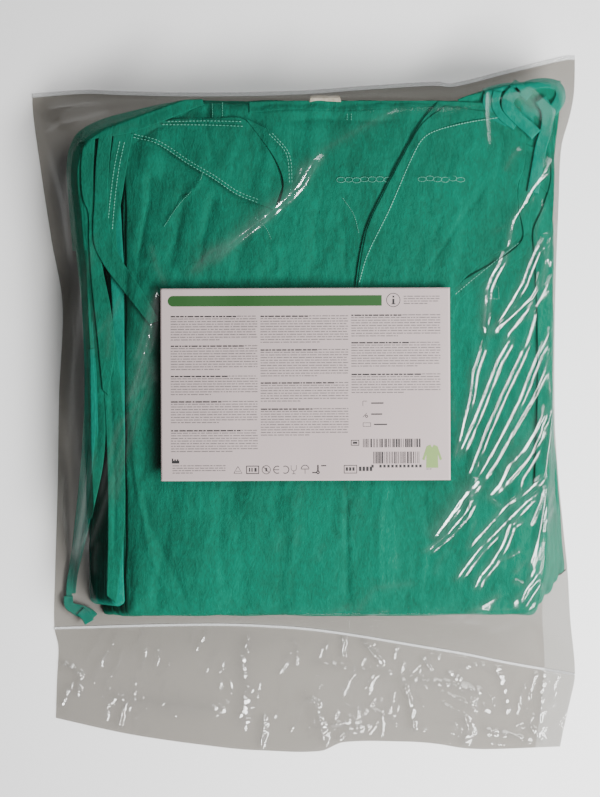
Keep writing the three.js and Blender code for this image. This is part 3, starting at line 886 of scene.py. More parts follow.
# The knotted tapes in the cut corner, all of the top gown.
knot = {
    "neck_loop": dict(
        path=[(158, 229), (166, 233), (177, 234.5), (186, 232.5), (188, 225), (184, 217), (177, 210)],
        width=8.5, lift=0.5,
    ),
    "neck_ear": dict(path=[(160, 230), (150, 231.5), (140, 230), (130, 226.5)], width=7, lift=0.4),
    "neck_fold_1": dict(path=[(134, 226), (133.5, 218), (139, 210), (150, 204)], width=6.5, lift=0.2),
    "neck_fold_2": dict(path=[(141, 228), (139.5, 218), (145, 209), (156, 201)], width=6.5, lift=1.2),
    "neck_strap": dict(path=[(157, 230), (150, 224), (148.5, 217), (156, 208), (164, 201), (171, 194)],
                       width=9.5, lift=2.2),
    "neck_fall": dict(path=[(172, 222), (177, 214), (177, 202), (173, 188), (170, 172), (166, 150)],
                      width=9, lift=1.2),
    "neck_cross": dict(path=[(152, 235), (158, 229), (165, 223)], width=8, lift=2.2),
}
# The tapes at the foot run down off the stack's side to the bag's floor and end in a folded loop.
foot = {
    "foot_tape_1": dict(
        path=[(-157, 80), (-153, 20), (-155, -30), (-161, -72), (-167, -104), (-171.5, -128), (-174, -150)],
        width=6.5, lift=-2.2,
    ),
    "foot_tape_2": dict(
        path=[(-160, 70), (-158, 10), (-161, -40), (-166, -84), (-170, -116), (-173, -136), (-173, -149)],
        width=5.5, lift=-1.4,
    ),
    "foot_tape_3": dict(
        path=[(-153, 60), (-150, 0), (-152, -44), (-158, -80), (-165, -110), (-170, -130), (-172, -151)],
        width=5, lift=-1.6,
    ),
    "foot_tape_4": dict(
        path=[(-156, 40), (-154, -10), (-158, -60), (-164, -92), (-171, -122), (-174, -140), (-171, -153)],
        width=4.5, lift=-0.6,
    ),
    "foot_loop": dict(
        path=[(-174, -142), (-173.5, -149), (-170, -151), (-165, -152), (-158, -155), (-154, -159)],
        width=7, lift=0.2,
    ),
    "foot_turn": dict(path=[(-174, -147), (-169, -153), (-162, -156), (-156, -158)], width=6, lift=-0.4),
    "foot_end": dict(path=[(-165, -153), (-161, -157), (-158, -162)], width=7.5, lift=1.6),
}


# The ground under the foot's tapes: the stack's, falling away to the bag's floor at the lower left.
def footGround(x, y):
    return mix(3.4, drape(x, y), ease((x + 178) / 18) * ease((y + 150) / 30))


for name, k in (knot | foot).items():
    ground = footGround if name in foot else drape
    made = strap(f"gown_10_{name}", k["path"], k["width"], k["lift"], 1.2 if name in foot else 1.9, ground)
    finished(made, "tie", "gown_10", "tie_fabric")
    long = np.linalg.norm(np.diff(np.array(k["path"], float), axis=0), axis=1).sum()
    laid(made, long)
tabSides = [(4, 220), (10, 221), (18, 220.5), (27, 220)], [(5, 226), (12, 227), (19, 225.5), (26, 226)]
tab = ply("gown_10_size_tab", *tabSides, (8, 20), 0.9, 0.6)
finished(tab, "tab", "gown_10", "tie_fabric")
laid(tab, 20)
print("knot and tab")


# Rows of short stitches: each is a six-cornered bead along its line, lying lift above the ground.
def stitches(name, lines, every, long, radius, lift):
    centres, ways = [], []
    for line in lines:
        p = pathThrough(line, 400)
        total = np.linalg.norm(np.diff(p, axis=0), axis=1).sum()
        at = np.arange(every / 2, total, every) / total * 399
        d = np.gradient(p, axis=0)
        centres.append(np.stack([np.interp(at, np.arange(400), p[:, c]) for c in (0, 1)], 1))
        ways.append(np.stack([np.interp(at, np.arange(400), d[:, c]) for c in (0, 1)], 1))
    q, d = np.vstack(centres), np.vstack(ways)
    d /= np.linalg.norm(d, axis=1)[:, None]
    side = np.stack([-d[:, 1], d[:, 0]], 1)
    bead = np.array([
        (-1, 0, 0), (-0.6, 1, 0), (-0.6, 0, 1), (-0.6, -1, 0), (-0.6, 0, -1),
        (0.6, 1, 0), (0.6, 0, 1), (0.6, -1, 0), (0.6, 0, -1), (1, 0, 0),
    ])
    plan = q[:, None] + d[:, None] * (bead[:, 0] * long / 2)[None, :, None]
    plan = plan + side[:, None] * (bead[:, 1] * radius)[None, :, None]
    height = drape(plan[..., 0], plan[..., 1]) + lift + bead[None, :, 2] * radius
    points = np.concatenate([plan, height[..., None]], -1).reshape(-1, 3)
    first = np.arange(len(q))[:, None, None] * 10
    tips = np.array([(0, 2, 1), (0, 3, 2), (0, 4, 3), (0, 1, 4), (9, 5, 6), (9, 6, 7), (9, 7, 8), (9, 8, 5)])
    walls = np.array([(1, 2, 6, 5), (2, 3, 7, 6), (3, 4, 8, 7), (4, 1, 5, 8)])
    made = closed(buildMesh(name, points, (first + walls).reshape(-1, 4), (first + tips).reshape(-1, 3)))
    return finished(made, "thread", "gown_10", "tie_fabric")


def beside(line, distance):
    p = pathThrough(line, 24)
    d = np.gradient(p, axis=0)
    return p + np.stack([-d[:, 1], d[:, 0]], 1) / np.linalg.norm(d, axis=1)[:, None] * distance


# Chains of thread: each link is an oval, a little skewed and uneven.
def chain(start, end, height, links, seed):
    wobble = np.random.default_rng(seed).uniform(-0.5, 0.5, (links, 3))
    turn = np.linspace(0, 2 * np.pi, 14)
    made = []
    for middle, w in zip(np.linspace(start, end, links), wobble):
        across = middle + (3.0 + 0.4 * w[0]) * np.cos(turn)
        up = height + w[1] + (1.7 + 0.4 * w[2]) * np.sin(turn)
        made.append(np.stack([across, up], 1))
    return made


seam = [(-125, 194.5), (-107, 189.5), (-84, 174.5), (-67, 164.5), (-49, 152.5), (-34, 146.5)]
hemStitch = [(147, 209.5), (116, 204.2), (92, 197), (83, 188), (61.5, 140), (46, 108), (40, 88)]
cuffStitch = [(156, 118), (142, 107), (122, 91), (109, 80)]
leftStitch = [(-131, 191), (-135, 172), (-138, 149), (-140, 126)]
stitches("gown_10_seam_stitches", [seam, beside(seam, 2.2)], 2.6, 2.1, 0.3, 1.65)
stitches("gown_10_hem_stitches", [hemStitch], 2.1, 2.05, 0.42, 2.5)
stitches("gown_10_cuff_stitches", [beside(cuffStitch, 1.0)], 2.4, 2.0, 0.3, 1.5)
stitches("gown_10_pleat_stitches", [leftStitch, beside(leftStitch, -3.4)], 2.4, 2.1, 0.36, 1.6)
stitches("gown_10_yoke_stitches", [
    [(-104, 203.5), (-72, 203), (-44, 202)], [(-100, 205.6), (-72, 206), (-46, 205.4)],
    [(-26, 197), (-13, 182), (-10.5, 160)], [(-23.6, 197.5), (-11, 182), (-8.6, 160)],
], 2.6, 2.1, 0.3, 2.3)
stitches("gown_10_top_stitches", [
    [(-67, 219), (-66.6, 209)], [(-59.5, 220), (-59.5, 209.5)],
    [(31.6, 219), (31.4, 207)], [(34.6, 219), (34.4, 207)],
    [(134, 86), (141.5, 85)], [(134, 77), (142, 76)], [(141.7, 85), (142, 76)], [(134, 86), (134, 77)],
], 1.8, 1.5, 0.22, 0.35)
stitches("gown_10_chain_stitches", chain(27, 61, 163, 7, 4), 1.25, 1.3, 0.24, 0.5)
stitches("gown_10_sleeve_chain_stitches", chain(86, 114, 163.5, 6, 6), 1.25, 1.3, 0.24, 1.7)
stitches("gown_10_loose_threads", [
    [(-73, 172), (-76, 162), (-92, 144), (-102, 129)], [(-40, 155), (-28, 154), (-20, 155)],
    [(-36, 136), (-28, 128), (-24, 120)], [(28, 150), (36, 138), (40, 124)],
], 1.6, 1.5, 0.18, 0.3)
print("stitching")

# Film wrinkles as points, height and width, the long ones first.
ridges = [
    ([(70, 215), (40, 200), (13, 184), (-4, 169)], 0.7, 2.6),
    ([(13, 184), (-4, 169), (-6, 159), (-23, 146), (-32, 138), (-45, 126), (-56, 117), (-69, 110),
      (-87, 90)], 2.3, 2.4),
    ([(2, 170), (-10, 155), (-27, 140), (-38, 132), (-60, 113)], 1.3, 1.6),
    ([(-108, 83), (-110, 70), (-115, 54)], 1.6, 1.8),
    ([(-123, 47), (-107, 14)], 1.2, 1.6),
    ([(-107, 14), (-125, -5), (-135, -16), (-144, -45), (-150, -75)], 1.3, 1.8),
    ([(-112, 44), (-110, 20), (-122, -12), (-134, -48), (-139, -80)], 1.2, 1.6),
    ([(-120, 10), (-137, -45), (-141, -75)], 1.2, 1.5),
    ([(-137, -45), (-148, -80), (-159, -111)], 1.3, 1.5),
    ([(-152, -30), (-160, -70), (-168, -120)], 1.1, 1.6),
    ([(-150, 130), (-160, 90), (-170, 30), (-172, -30)], 0.8, 2.0),
    ([(-190, 190), (-178, 150), (-172, 110)], 0.9, 2.0),
    ([(16, 186), (4, 174), (-4, 160), (-16, 148), (-30, 136), (-46, 124), (-60, 112), (-72, 98)], 3.2, 2.0),
    ([(10, 184), (-1, 170), (-9, 158), (-22, 146), (-38, 133), (-52, 122)], 2.4, 1.5),
    ([(0, 164), (-12, 150), (-26, 140), (-42, 128)], 2.2, 1.4),
    ([(-107, 86), (-110, 70), (-113, 52), (-118, 34), (-124, 14), (-130, -4)], 3.0, 2.0),
    ([(-109, 80), (-115, 60), (-119, 44), (-124, 28)], 2.4, 1.5),
    ([(-112, 50), (-117, 36), (-113, 24), (-119, 8)], 2.2, 1.4),
    ([(-172, 172), (-176, 130), (-170, 100)], 0.8, 1.6),
    ([(189, 185), (180, 175), (166, 158), (160, 147), (151, 133), (147, 112), (143, 106)], 1.5, 1.3),
    ([(147, 114), (143, 106), (136, 94), (132, 84), (131, 70), (130, 57), (132, 46)], 2.2, 1.9),
    ([(178, 121), (168, 113), (163, 101), (158, 88), (151, 76), (143, 63), (130, 46)], 1.9, 1.5),
    ([(171, 98), (168, 83), (165, 78), (150, 64), (131, 48)], 1.7, 1.5),
    ([(169, 76), (158, 64), (149, 53), (144, 40), (138, 26)], 1.6, 1.5),
    ([(169, 73), (166, 59), (160, 40), (150, 22)], 1.4, 1.3),
    ([(185, 133), (180, 119), (175, 101), (171, 77)], 1.0, 1.6),
    ([(185, 98), (176, 85), (168, 72), (160, 58)], 1.1, 1.5),
    ([(184, 62), (173, 42), (166, 26), (158, 10)], 1.1, 1.4),
    ([(171, 113), (176, 107), (183, 101)], 0.9, 1.1),
    ([(106, 79), (120, 89), (138, 103), (156, 118)], 0.6, 1.2),
    ([(131, 50), (125, 32), (122, 24), (120, 5), (115, -15), (112, -30), (107, -44)], 2.1, 1.6),
    ([(153, 54), (140, 32), (133, 14), (126, -4), (117, -25), (109, -42)], 2.2, 1.8),
    ([(164, 54), (156, 34), (144, 9), (132, -18), (124, -39), (116, -60)], 1.8, 1.4),
    ([(180, 54), (169, 36), (156, 3), (147, -15), (136, -36), (127, -51), (123, -60)], 1.8, 1.4),
    ([(182, 49), (175, 24), (166, 4), (154, -16), (141, -39), (130, -56), (125, -66)], 1.6, 1.3),
    ([(130, -52), (118, -64), (106, -80), (96, -94), (92, -102)], 2.6, 3.6),
    ([(126, -56), (112, -70), (100, -84), (92, -98)], 2.0, 1.4),
    ([(124, -66), (116, -80), (104, -94), (85, -110)], 1.9, 1.3),
    ([(178, 2), (168, -19), (160, -32), (148, -45), (142, -58), (130, -69)], 2.2, 2.6),
    ([(176, -4), (172, -22), (164, -38), (150, -54), (127, -72)], 1.6, 1.2),
    ([(132, -66), (137, -70), (143, -76)], 1.3, 1.4),
    ([(176, -50), (162, -63), (147, -73), (135, -87), (124, -99), (116, -110)], 1.8, 1.5),
    ([(177, -59), (162, -70), (151, -81), (138, -94), (127, -105), (117, -118), (107, -132)], 1.9, 1.6),
    ([(161, -80), (149, -88), (144, -102), (136, -115), (127, -126), (122, -138)], 1.9, 1.7),
    ([(176, -58), (171, -73), (163, -90)], 1.6, 1.5),
    ([(178, -52), (175, -73), (171, -96), (166, -111), (162, -125)], 1.6, 1.3),
    ([(184, 26), (181, -13), (178, -36), (175, -53)], 1.3, 1.3),
    ([(186, -56), (177, -78), (169, -108), (162, -130)], 1.0, 1.2),
    ([(159, -105), (148, -111), (134, -117)], 0.9, 1.1),
    ([(172, -122), (163, -133), (156, -146)], 1.7, 1.8),
    ([(168, -118), (160, -136), (150, -148)], 1.5, 1.6),
    ([(174, -130), (166, -140), (160, -150)], 1.5, 1.5),
    ([(150, -128), (160, -132), (170, -142)], 1.2, 1.3),
    ([(106, 60), (104, 20), (110, -20)], 1.0, 1.6),
    ([(-100, 84), (-108, 100), (-112, 118)], 0.8, 1.6),
    ([(20, -156), (60, -159), (120, -166)], 0.9, 1.8),
    ([(-60, -158), (-10, -157), (40, -162), (90, -170), (150, -182)], 0.8, 2.4),
    ([(-40, 226), (20, 226), (60, 228)], 0.5, 2.0),
    ([(-195, 215), (-160, 222), (-120, 224), (-80, 227)], 0.8, 2.4),
    ([(-192, 200), (-166, 208), (-140, 216)], 0.7, 2.4),
]
tailRidges = [
    ([(29, -168), (29, -178), (28, -189)], 1.5, 1.4),
    ([(41, -172), (50, -184), (60, -195)], 1.4, 1.6),
    ([(69, -213), (75, -210), (79, -226), (82, -245)], 1.8, 1.5),
    ([(87, -186), (90, -192), (94, -198)], 1.3, 1.4),
    ([(104, -198), (110, -201), (117, -205)], 1.3, 1.4),
    ([(116, -230), (122, -238), (118, -254)], 1.7, 1.5),
    ([(130, -240), (150, -244), (170, -250)], 1.0, 1.6),
    ([(164, -236), (172, -244), (177, -251)], 1.5, 1.4),
    ([(-182, -190), (-172, -195), (-165, -200), (-168, -218)], 1.6, 1.5),
    ([(-131, -219), (-134, -228), (-138, -240)], 1.6, 1.3),
    ([(-45, -214), (-44, -221), (-46, -230)], 1.6, 1.4),
    ([(-29, -228), (-30, -242), (-32, -256)], 1.9, 1.6),
    ([(-3, -217), (10, -220), (12, -236), (16, -254)], 1.8, 1.5),
    ([(8, -236), (22, -237), (34, -236)], 1.4, 1.3),
    ([(60, -205), (84, -204), (110, -208), (140, -216)], 0.9, 2.4),
    ([(0, -190), (36, -196), (70, -200)], 0.8, 2.6),
    ([(-40, -166), (-46, -190), (-42, -212), (-46, -244)], 1.1, 4.0),
    ([(-150, -216), (-100, -222), (-50, -226)], 0.9, 4.0),
    ([(20, -250), (34, -240), (52, -238)], 1.1, 1.5),
    ([(-170, -205), (-176, -214), (-180, -226)], 1.3, 1.4),
    ([(140, -190), (148, -212), (150, -232)], 0.8, 2.0),
    ([(176, -150), (178, -190), (174, -230), (176, -250)], 0.9, 1.6),
]


# More small wrinkles in a band of places: short, and all about one way, each with its own bend.
def scattered(seed, count, low, high, way, long, height, width):
    draw = np.random.default_rng(seed)
    made = []
    for start in draw.uniform(low, high, (count, 2)):
        angle = math.radians(way + draw.normal(0, 16))
        reach = long * draw.uniform(0.5, 1.4)
        bend = draw.normal(0, 0.08) * reach
        step = np.array([math.cos(angle), math.sin(angle)]) * reach
        middle = start + step / 2 + np.array([-step[1], step[0]]) / reach * bend
        made.append(([start, middle, start + step], height * draw.uniform(0.4, 1.1), width))
    return made


# Each strong wrinkle has a thinner one beside it.
ridges += [(np.array(p) + (3.2, -1.4), h * 0.6, w * 0.75) for p, h, w in ridges if h > 1.7]
ridges += scattered(11, 12, (112, -130), (176, 40), 62, 40, 1.1, 1.1)
ridges += scattered(12, 14, (-178, -150), (-140, 60), 78, 34, 0.9, 1.3)
ridges += scattered(13, 8, (130, 70), (182, 190), 60, 40, 0.8, 1.2)
ridges += scattered(19, 18, (-70, -178), (150, -160), 14, 44, 1.0, 2.2)
ridges += scattered(14, 12, (-100, -150), (100, -70), 80, 26, 0.3, 1.8)
ridges += scattered(15, 14, (-190, 190), (-60, 228), 20, 30, 0.5, 1.6)
tailRidges = [(p, 1.8 * h, 1.25 * w) for p, h, w in tailRidges]
tailRidges += scattered(16, 120, (-178, -248), (184, -176), 72, 20, 1.2, 1.1)
tailRidges += scattered(17, 50, (0, -250), (184, -190), -30, 16, 1.1, 1.1)
tailSwells = scattered(18, 34, (-180, -250), (180, -180), 40, 50, 1.5, 6.0)

labelPlace = dict(x=1.0, y=14.0, wide=210.5, high=140.0, turn=0.004, lift=0.8, thick=0.3)


# Places in the label's own frame, from its top left corner, as places in plan.
def onLabel(across, down):
    dx, dy = across - labelPlace["wide"] / 2, labelPlace["high"] / 2 - down
    c, s = math.cos(labelPlace["turn"]), math.sin(labelPlace["turn"])
    return labelPlace["x"] + dx * c - dy * s, labelPlace["y"] + dx * s + dy * c


# Nought under the label, where the film is held flat, and one clear of it.
def clearOfLabel(x, y):
    dx = np.abs(x - labelPlace["x"]) - labelPlace["wide"] / 2
    dy = np.abs(y - labelPlace["y"]) - labelPlace["high"] / 2
    return ease((np.maximum(dx, dy) + 0.5) / 4)


labelWaves = softNoise(21)


def labelTop(x, y):
    return filmBase(x, y) + labelPlace["lift"] + labelPlace["thick"] + 0.6 * labelWaves(x / 30, y / 80)


def edgeStops(count, share=0.07, reach=0.03):
    return np.interp(np.linspace(0, 1, count), [0, share, 1 - share, 1], [0, reach, 1 - reach, 1])


# Columns of the front film stand closest together at its right and left of its middle, where most
# wrinkles are.
columnShares = [0, 0.04, 0.22, 0.27, 0.47, 0.56, 0.95, 1]
columnPlaces = [0, 0.02, 0.237, 0.352, 0.53, 0.73, 0.98, 1]
columnStops = np.interp(np.linspace(0, 1, film["columns"]), columnShares, columnPlaces)
u, v = np.meshgrid(columnStops, edgeStops(film["rows"]))
x, y = bagPlan(u, v, lambda x: mouthEdge(x) + 0.3, lambda x: topEdge(x) - weldWidth)
crease = ridgeField(x, y, ridges, np.maximum) * clearOfLabel(x, y)
rim = ease(np.minimum.reduce([x - leftEdge(y), rightEdge(y) - x]) / 5)
sparkle = softNoise(31)
z = filmBase(x, y) + crease * (0.9 + 0.2 * sparkle(x / 5, y / 9)) * (0.15 + 0.85 * rim)
points = np.stack([x, y, z], -1).reshape(-1, 3)
# Share of white gloss along the wrinkles: partly the whitening of creased film, partly painted highlight on
# their crests.
whitening_and_painted_highlight = np.clip(crease / 2, 0, 1)
frontFilm = buildMesh("film_front", points, gridFaces(film["rows"], film["columns"]), crease=whitening_and_painted_highlight)
finished(frontFilm, "front", "bag", "clear_film", "bag_front_panel")

bandLeft = smoothCurve([(-256, 171), (-200, 178), (-160, 176.5), (-128, 176), (-126, 176)])
bandTop = -127.0


# The back film's right side: the bag's edge above the band, and the band's left side below it.
def backRight(y):
    return np.where(y > bandTop, rightEdge(y), bandLeft(y))


u, v = np.meshgrid(np.linspace(0, 1, 70), np.linspace(0, 1, 90))
x, y = bagPlan(u, v, mouthEdge, lambda x: topEdge(x) - weldWidth, right=backRight)
z = 0.3 + 0.1 * np.abs(smallWaves(x / 8, y / 8))
backFilm = buildMesh("film_back", np.stack([x, y, z], -1).reshape(-1, 3), gridFaces(90, 70)[:, ::-1])
finished(backFilm, "back", "bag", "clear_film", "bag_back_panel")
print("film")


# A band of welded film: fine ribs run along it, pressed in uneven dents.
def weldBand(name, lower, upper, node):
    u, v = np.meshgrid(np.linspace(0, 1, 420), np.linspace(0, 1, 11))
    x, y = bagPlan(u, v, lower, upper)
    dents = 0.12 * smallWaves(x / 2.2, y / 2.2)
    high = 0.85 + 0.22 * np.cos(2 * np.pi * 2.5 * v) + dents
    made = slab(name, x, y, 0 * x + 0.12, high)
    return finished(made, "weld", "bag", "clear_film", node)


weldBand("film_top_weld", lambda x: topEdge(x) - weldWidth, topEdge, "bag_top_weld")
weldBand("film_mouth_weld", lambda x: mouthEdge(x) - weldWidth * 0.55, lambda x: mouthEdge(x) + 0.3,
         "bag_mouth_weld")

# The tail: two loose panels that run from the mouth weld over the fold to a wavy lower edge. The
# front one stands off in billows, low at its rim.
tail = dict(billow=5.0, swell=0.7, ripple=0.35, columns=470, rows=140, foldReach=5.0)


def skirtTop(x):
    return mouthEdge(x) - 1.6


u, v = np.meshgrid(np.linspace(0, 1, tail["columns"]), np.linspace(0, 1, tail["rows"]))
x, y = bagPlan(u, v, tailEdge, skirtTop)
billow = np.sin(np.pi * u) ** 0.6 * (0.55 + 0.45 * np.sin(2 * np.pi * (4 * u + 0.4 * v)))
shape = ease(v / 0.25) * 0.55 + 0.45
below = np.clip((foldLine(x) - y) / 22, 0, 1)
z = 0.9 + tail["billow"] * billow * shape * ease(below) * (1 - 0.35 * ease((v - 0.5) * 2))
crease = ridgeField(x, y, tailRidges, np.maximum)
swell = tail["swell"] * ridgeField(x, y, tailSwells, np.maximum)
wrinkled = crease * (0.75 + 0.5 * sparkle(x / 3, y / 3)) + swell
z = z + wrinkled * ease((skirtTop(x) - y) / 3) + tail["ripple"] * (1 + smallWaves(x / 9, y / 9))
# The tail's wrinkles carry the same share: partly whitening of creased film, partly painted highlight.
tailFront = buildMesh("tail_front_film", np.stack([x, y, z], -1).reshape(-1, 3),
                      gridFaces(tail["rows"], tail["columns"]), crease=np.clip(crease / 2, 0, 1))
finished(tailFront, "front", None, "clear_film", "bag_mouth_skirt", "tail_front_panel")
u, v = np.meshgrid(np.linspace(0, 1, 160), np.linspace(0, 1, 40))
x, y = bagPlan(u, v, tailEdge, skirtTop, right=backRight)
z = 0.25 + 0.12 * np.abs(smallWaves(x / 8, y / 8))
tailBack = buildMesh("tail_back_film", np.stack([x, y, z], -1).reshape(-1, 3), gridFaces(40, 160)[:, ::-1])
finished(tailBack, "back", None, "clear_film", "tail_back_panel")

# A single ply of film along the right edge, below the stack and down the tail.
u, v = np.meshgrid(np.linspace(0, 1, 18), np.linspace(0, 1, 90))
x, y = bagPlan(u, v, tailEdge, lambda x: 0 * x + bandTop + 4, left=bandLeft)
z = 0.25 + 0.12 * np.abs(smallWaves(x / 8, y / 8))
sideBand = buildMesh("film_side_band", np.stack([x, y, z], -1).reshape(-1, 3), gridFaces(90, 18)[:, ::-1])
finished(sideBand, "side", None, "clear_film")
foldWay = np.array([foldLine(1) - foldLine(0), -1, 0])
foldWay /= np.linalg.norm(foldWay)
foldMiddle = np.array([0.0, foldLine(0.0), 0.3])
# Each piece that folds: its flat size in metres, and its area where it isn't their product.
folding = [
    (tailFront, (0.39, 0.09), 0.026),
    (tailBack, (0.365, 0.09), 0.024),
    (sideBand, (0.023, 0.13), None),
]
for thing, flat, area in folding:
    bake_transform(thing)
print("tail")

# The label: paper on the outside of the film.
u, v = np.meshgrid(np.linspace(0, labelPlace["wide"], 150), np.linspace(labelPlace["high"], 0, 100))
x, y = onLabel(u, v)
labelSheet = slab("label_sheet", x, y, labelTop(x, y) - labelPlace["thick"], labelTop(x, y))
finished(labelSheet, "paper", "bag", "label_paper", "label")


# Ink on the label: four-cornered patches in the label's frame, a hair above the paper.
def ink(name, look, corners):
    corners = np.asarray(corners, float).reshape(-1, 4, 2)
    x, y = onLabel(corners[..., 0], corners[..., 1])
    points = np.stack([x, y, labelTop(x, y) + 0.07], -1).reshape(-1, 3)
    made = buildMesh(name, points, np.arange(len(points)).reshape(-1, 4)[:, ::-1])
    return finished(made, look, "bag", "label_paper")


# Boxes as left, top, width and height, cut into lengths of at most five millimetres.
def boxes(sizes):
    made = []
    for left, top, wide, high in sizes:
        cuts = np.linspace(left, left + wide, max(2, int(wide / 5) + 2))
        made += [[(a, top), (b, top), (b, top + high), (a, top + high)] for a, b in zip(cuts[:-1], cuts[1:])]
    return made


# A drawn line of one width along a path.
def drawn(path, width):
    p = np.array(path, float)
    d = np.gradient(p, axis=0)
    side = np.stack([-d[:, 1], d[:, 0]], 1) / np.maximum(np.linalg.norm(d, axis=1), 1e-9)[:, None] * width / 2
    a, b = p - side, p + side
    return [[a[i], a[i + 1], b[i + 1], b[i]] for i in range(len(p) - 1)]


def straight(*corners, width=0.32):
    made = []
    for a, b in zip(corners[:-1], corners[1:]):
        made += drawn([a, b], width)
    return made


def round_(x, y, radius, width=0.32, start=0.0, end=360.0, count=28):
    turn = np.radians(np.linspace(start, end, count))
    return drawn(np.stack([x + radius * np.cos(turn), y + radius * np.sin(turn)], 1), width)


# Lines of made-up words, as dashes of random length: the first of a block is set bolder.
def greekBlock(left, right, top, bottom, leading, draw, heading):
    plain, bold = [], []
    for row, line in enumerate(np.arange(top, bottom, leading)):
        end = right if line + leading < bottom else mix(left, right, draw.uniform(0.3, 0.8))
        at = left
        headed = heading and row == 0
        stop = mix(left, right, draw.uniform(0.5, 0.8)) if headed else left
        while at < end - 0.8:
            wide = min(draw.uniform(1.0, 5.2), end - at)
            strong = at < stop
            (bold if strong else plain).append((at, line, wide, 0.95 if strong else 0.62))
            at += wide + draw.uniform(0.5, 0.8)
    return plain, bold


draw = np.random.default_rng(77)
textColumns = [
    (7.5, 70.5, [(20.0, 38.5), (41.5, 59.5), (63.5, 78.5), (82.0, 99.0), (103.0, 119.0)]),
    (72.8, 136.5, [(20.0, 40.5), (44.5, 64.5), (68.5, 83.5), (87.5, 107.0)]),
    (138.8, 203.5, [(19.5, 35.5), (39.5, 57.5), (62.5, 77.5)]),
]
plain, bold = [], []
for left, right, blocks in textColumns:
    for top, bottom in blocks:
        made = greekBlock(left, right, top, bottom, 1.9, draw, True)
        plain, bold = plain + made[0], bold + made[1]
for left, right, top, bottom in ((177, 203, 6, 12.6), (8.5, 47, 128.6, 135.2), (193, 201.5, 131.6, 132.4)):
    plain += greekBlock(left, right, top, bottom, 1.75, draw, False)[0]
ink("label_text", "inkGrey", boxes(plain))
bold += [(153, 83.4, 9, 0.9), (153, 91.4, 8, 0.9), (155, 98.9, 9.5, 0.9)]
ink("label_headings", "inkDark", boxes(bold))

# The green header bar has a round left end.
header = dict(left=5.4, right=161.0, top=5.4, bottom=13.1)
half = (header["bottom"] - header["top"]) / 2
turn = np.linspace(0, np.pi / 2, 9)
steps = header["left"] + half * (1 - np.cos(turn))
rise = half * np.sin(turn)
middle = header["top"] + half
nose = [
    [(a, middle - p), (b, middle - q), (b, middle + q), (a, middle + p)]
    for a, b, p, q in zip(steps[:-1], steps[1:], rise[:-1], rise[1:])
]
body = boxes([(header["left"] + half, header["top"], header["right"] - header["left"] - half, 2 * half)])
ink("label_header_bar", "inkGreen", nose + body)


# Bars of random widths and gaps, with no code in them.
def bars(left, right, top, high, unit, draw):
    made, at = [], left
    while at < right - unit:
        wide = unit * draw.choice([1, 1, 2, 3])
        made.append((at, top, wide, high))
        at += wide + unit * draw.choice([1, 1, 2, 3])
    return made


codes = bars(147, 189, 109.8, 6.2, 0.36, draw) + bars(154.5, 188, 119.2, 8.6, 0.34, draw)
digits = [(153 + 2.9 * i, 128.7, 1.7, 2.0) for i in range(13) if i != 1]
ink("label_codes", "inkDark", boxes(codes + digits))

# Symbols: small outlined signs of no particular meaning, and a round information mark.
signs = round_(169.4, 9.0, 4.9, 0.45)
signs += boxes([(168.8, 5.9, 1.3, 1.3), (168.7, 8.1, 1.5, 3.6), (168.0, 11.5, 2.9, 0.6)])
signs += straight((53, 134.5), (56, 129.5), (59, 134.5), (53, 134.5)) + straight((54.6, 133), (57.4, 133))
signs += boxes([(62, 129, 9.4, 0.6), (62, 134.4, 9.4, 0.6), (62, 129, 0.6, 6), (70.8, 129, 0.6, 6)])
signs += boxes([(64, 130.6, 0.9, 2.8), (65.8, 130.6, 0.9, 2.8), (68, 130.6, 1.6, 2.8)])
signs += round_(76.6, 132, 3.0, 0.45) + straight((74.5, 129.9), (78.7, 134.1), width=0.45)
signs += boxes([(76, 130.6, 1.2, 2.6)])
signs += round_(84.6, 132, 2.6, 0.6, 60, 300) + straight((82, 132), (86, 132), width=0.5)
signs += round_(90.4, 132, 2.6, 0.6, 240, 480)
signs += round_(96.6, 131, 1.9, 0.35, 0, 180)
signs += straight((94.7, 128.8), (94.7, 131)) + straight((98.5, 128.8), (98.5, 131))
signs += straight((96.6, 133), (96.6, 135), width=0.4) + straight((95.2, 135), (98, 135))
signs += round_(104.8, 131.6, 2.8, 0.5, 180, 360) + straight((102, 131.6), (107.6, 131.6), width=0.5)
signs += straight((104.8, 131.6), (104.8, 135), width=0.4)
signs += boxes([(113.6, 128.6, 1.1, 4.4), (110, 133.8, 3.4, 0.8), (116.6, 128.8, 3.6, 0.8)])
signs += round_(114.2, 134, 0.9, 0.8)
signs += boxes([(133, 128.8, 9.6, 0.5), (133, 134.4, 9.6, 0.5), (133, 128.8, 0.5, 6), (142.1, 128.8, 0.5, 6)])
signs += boxes([(134.4, 130.4, 1.6, 2.6), (136.8, 130.4, 1.6, 2.6), (139.2, 130.4, 1.6, 2.6)])
signs += boxes([(144.0 + 2.6 * i, 130, 1.8, 3.2) for i in range(4)])
signs += boxes([(138.2, 110.6, 6, 0.5), (138.2, 114.2, 6, 0.5), (138.2, 110.6, 0.5, 4)])
signs += boxes([(143.7, 110.6, 0.5, 4), (139.6, 111.9, 3.2, 1.5)])
signs += boxes([(8, 125.2, 5.4, 2.0), (8, 123.6, 1.0, 1.6), (9.9, 124.2, 1.0, 1.2), (11.8, 124.2, 1.0, 1.2)])
signs += straight((147, 86), (147, 82.4), (150, 82.4)) + straight((147, 94), (149.8, 91))
signs += round_(149.6, 93.4, 0.8, 0.5)
signs += boxes([(147, 98, 5.8, 0.3), (147, 100.6, 5.8, 0.3), (147, 98, 0.3, 2.8), (152.5, 98, 0.3, 2.8)])
ink("label_signs", "inkDark", signs)

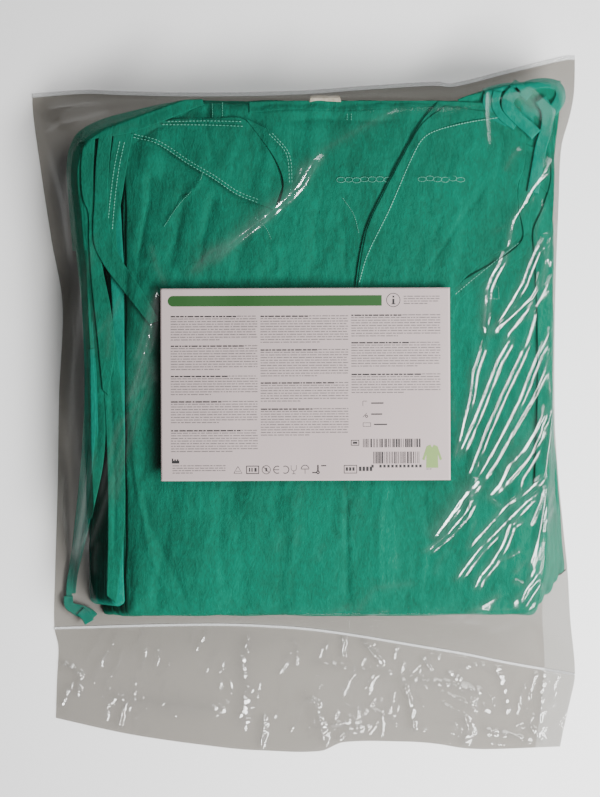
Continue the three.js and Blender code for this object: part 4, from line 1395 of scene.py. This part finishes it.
# A plain outline of a gown: body, two sleeves and a neck that is left open.
gownSign = [
    [(193.2, 115.4), (196.0, 114.2), (196.4, 131.0), (192.8, 131.0)],
    [(196.0, 114.2), (197.2, 116.4), (197.2, 131.0), (196.4, 131.0)],
    [(197.2, 116.4), (198.4, 114.2), (198.0, 131.0), (197.2, 131.0)],
    [(198.4, 114.2), (201.2, 115.4), (201.6, 131.0), (198.0, 131.0)],
    [(193.2, 115.4), (193.4, 120.0), (191.6, 125.6), (190.0, 124.8)],
    [(201.2, 115.4), (204.4, 124.8), (202.8, 125.6), (201.0, 120.0)],
]
ink("label_gown_picture", "inkPale", gownSign)
print("label")

# Floor, light and camera.
reachOut = 3000.0
corners = reachOut * np.array([(-1, -1, 0), (1, -1, 0), (1, 1, 0), (-1, 1, 0)], float)
floorMesh = buildMesh("floor", corners, [[0, 1, 2, 3]])
floorMesh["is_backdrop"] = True
f = Finish("pale_floor")
floorMesh.data.materials.append(f.show(f.surface(Base_Color=(0.94, 0.94, 0.94, 1), Roughness=0.9)))


# A soft rectangular light aimed at the middle of the pack.
def lamp(name, azimuth, elevation, distance, size, power, colour=(1, 1, 1)):
    data = bpy.data.lights.new(name, "AREA")
    data.shape = "RECTANGLE"
    data.size, data.size_y = size
    data.energy = power
    data.color = colour
    a, e = math.radians(azimuth), math.radians(elevation)
    thing = bpy.data.objects.new(name, data)
    toward = math.cos(e) * math.cos(a), math.cos(e) * math.sin(a), math.sin(e)
    thing.location = tuple(distance * c for c in toward)
    thing.rotation_euler = (math.pi / 2 - e, 0, a + math.pi / 2)
    bpy.context.scene.collection.objects.link(thing)


lamp("key", -36, 43, 1.15, (1.2, 0.25), 42)
lamp("fill", 52, 52, 1.3, (0.6, 0.6), 9)
studio = bpy.data.worlds.new("studio")
bpy.context.scene.world = studio
studio.use_nodes = True
studio.node_tree.nodes["Background"].inputs["Color"].default_value = (1, 1, 1, 1)
studio.node_tree.nodes["Background"].inputs["Strength"].default_value = 0.08

# The camera looks straight down. Its view is as many millimetres high as down says, at the level
# of the middle of the pack.
view = dict(down=585.0, middle=(-2.9, 3.7), height=3000, level=22, sensor=36)
camera = bpy.data.cameras.new("camera")
camera.lens = view["sensor"] * (view["height"] - view["level"]) / view["down"]
camera.clip_end = 20
eye = bpy.data.objects.new("camera", camera)
eye.location = (view["middle"][0] * mm, view["middle"][1] * mm, view["height"] * mm)
bpy.context.scene.collection.objects.link(eye)
bpy.context.scene.camera = eye

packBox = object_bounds()
sizes = {"cad": [list(map(float, c)) for c in cadBox], "visual": [list(map(float, c)) for c in packBox]}
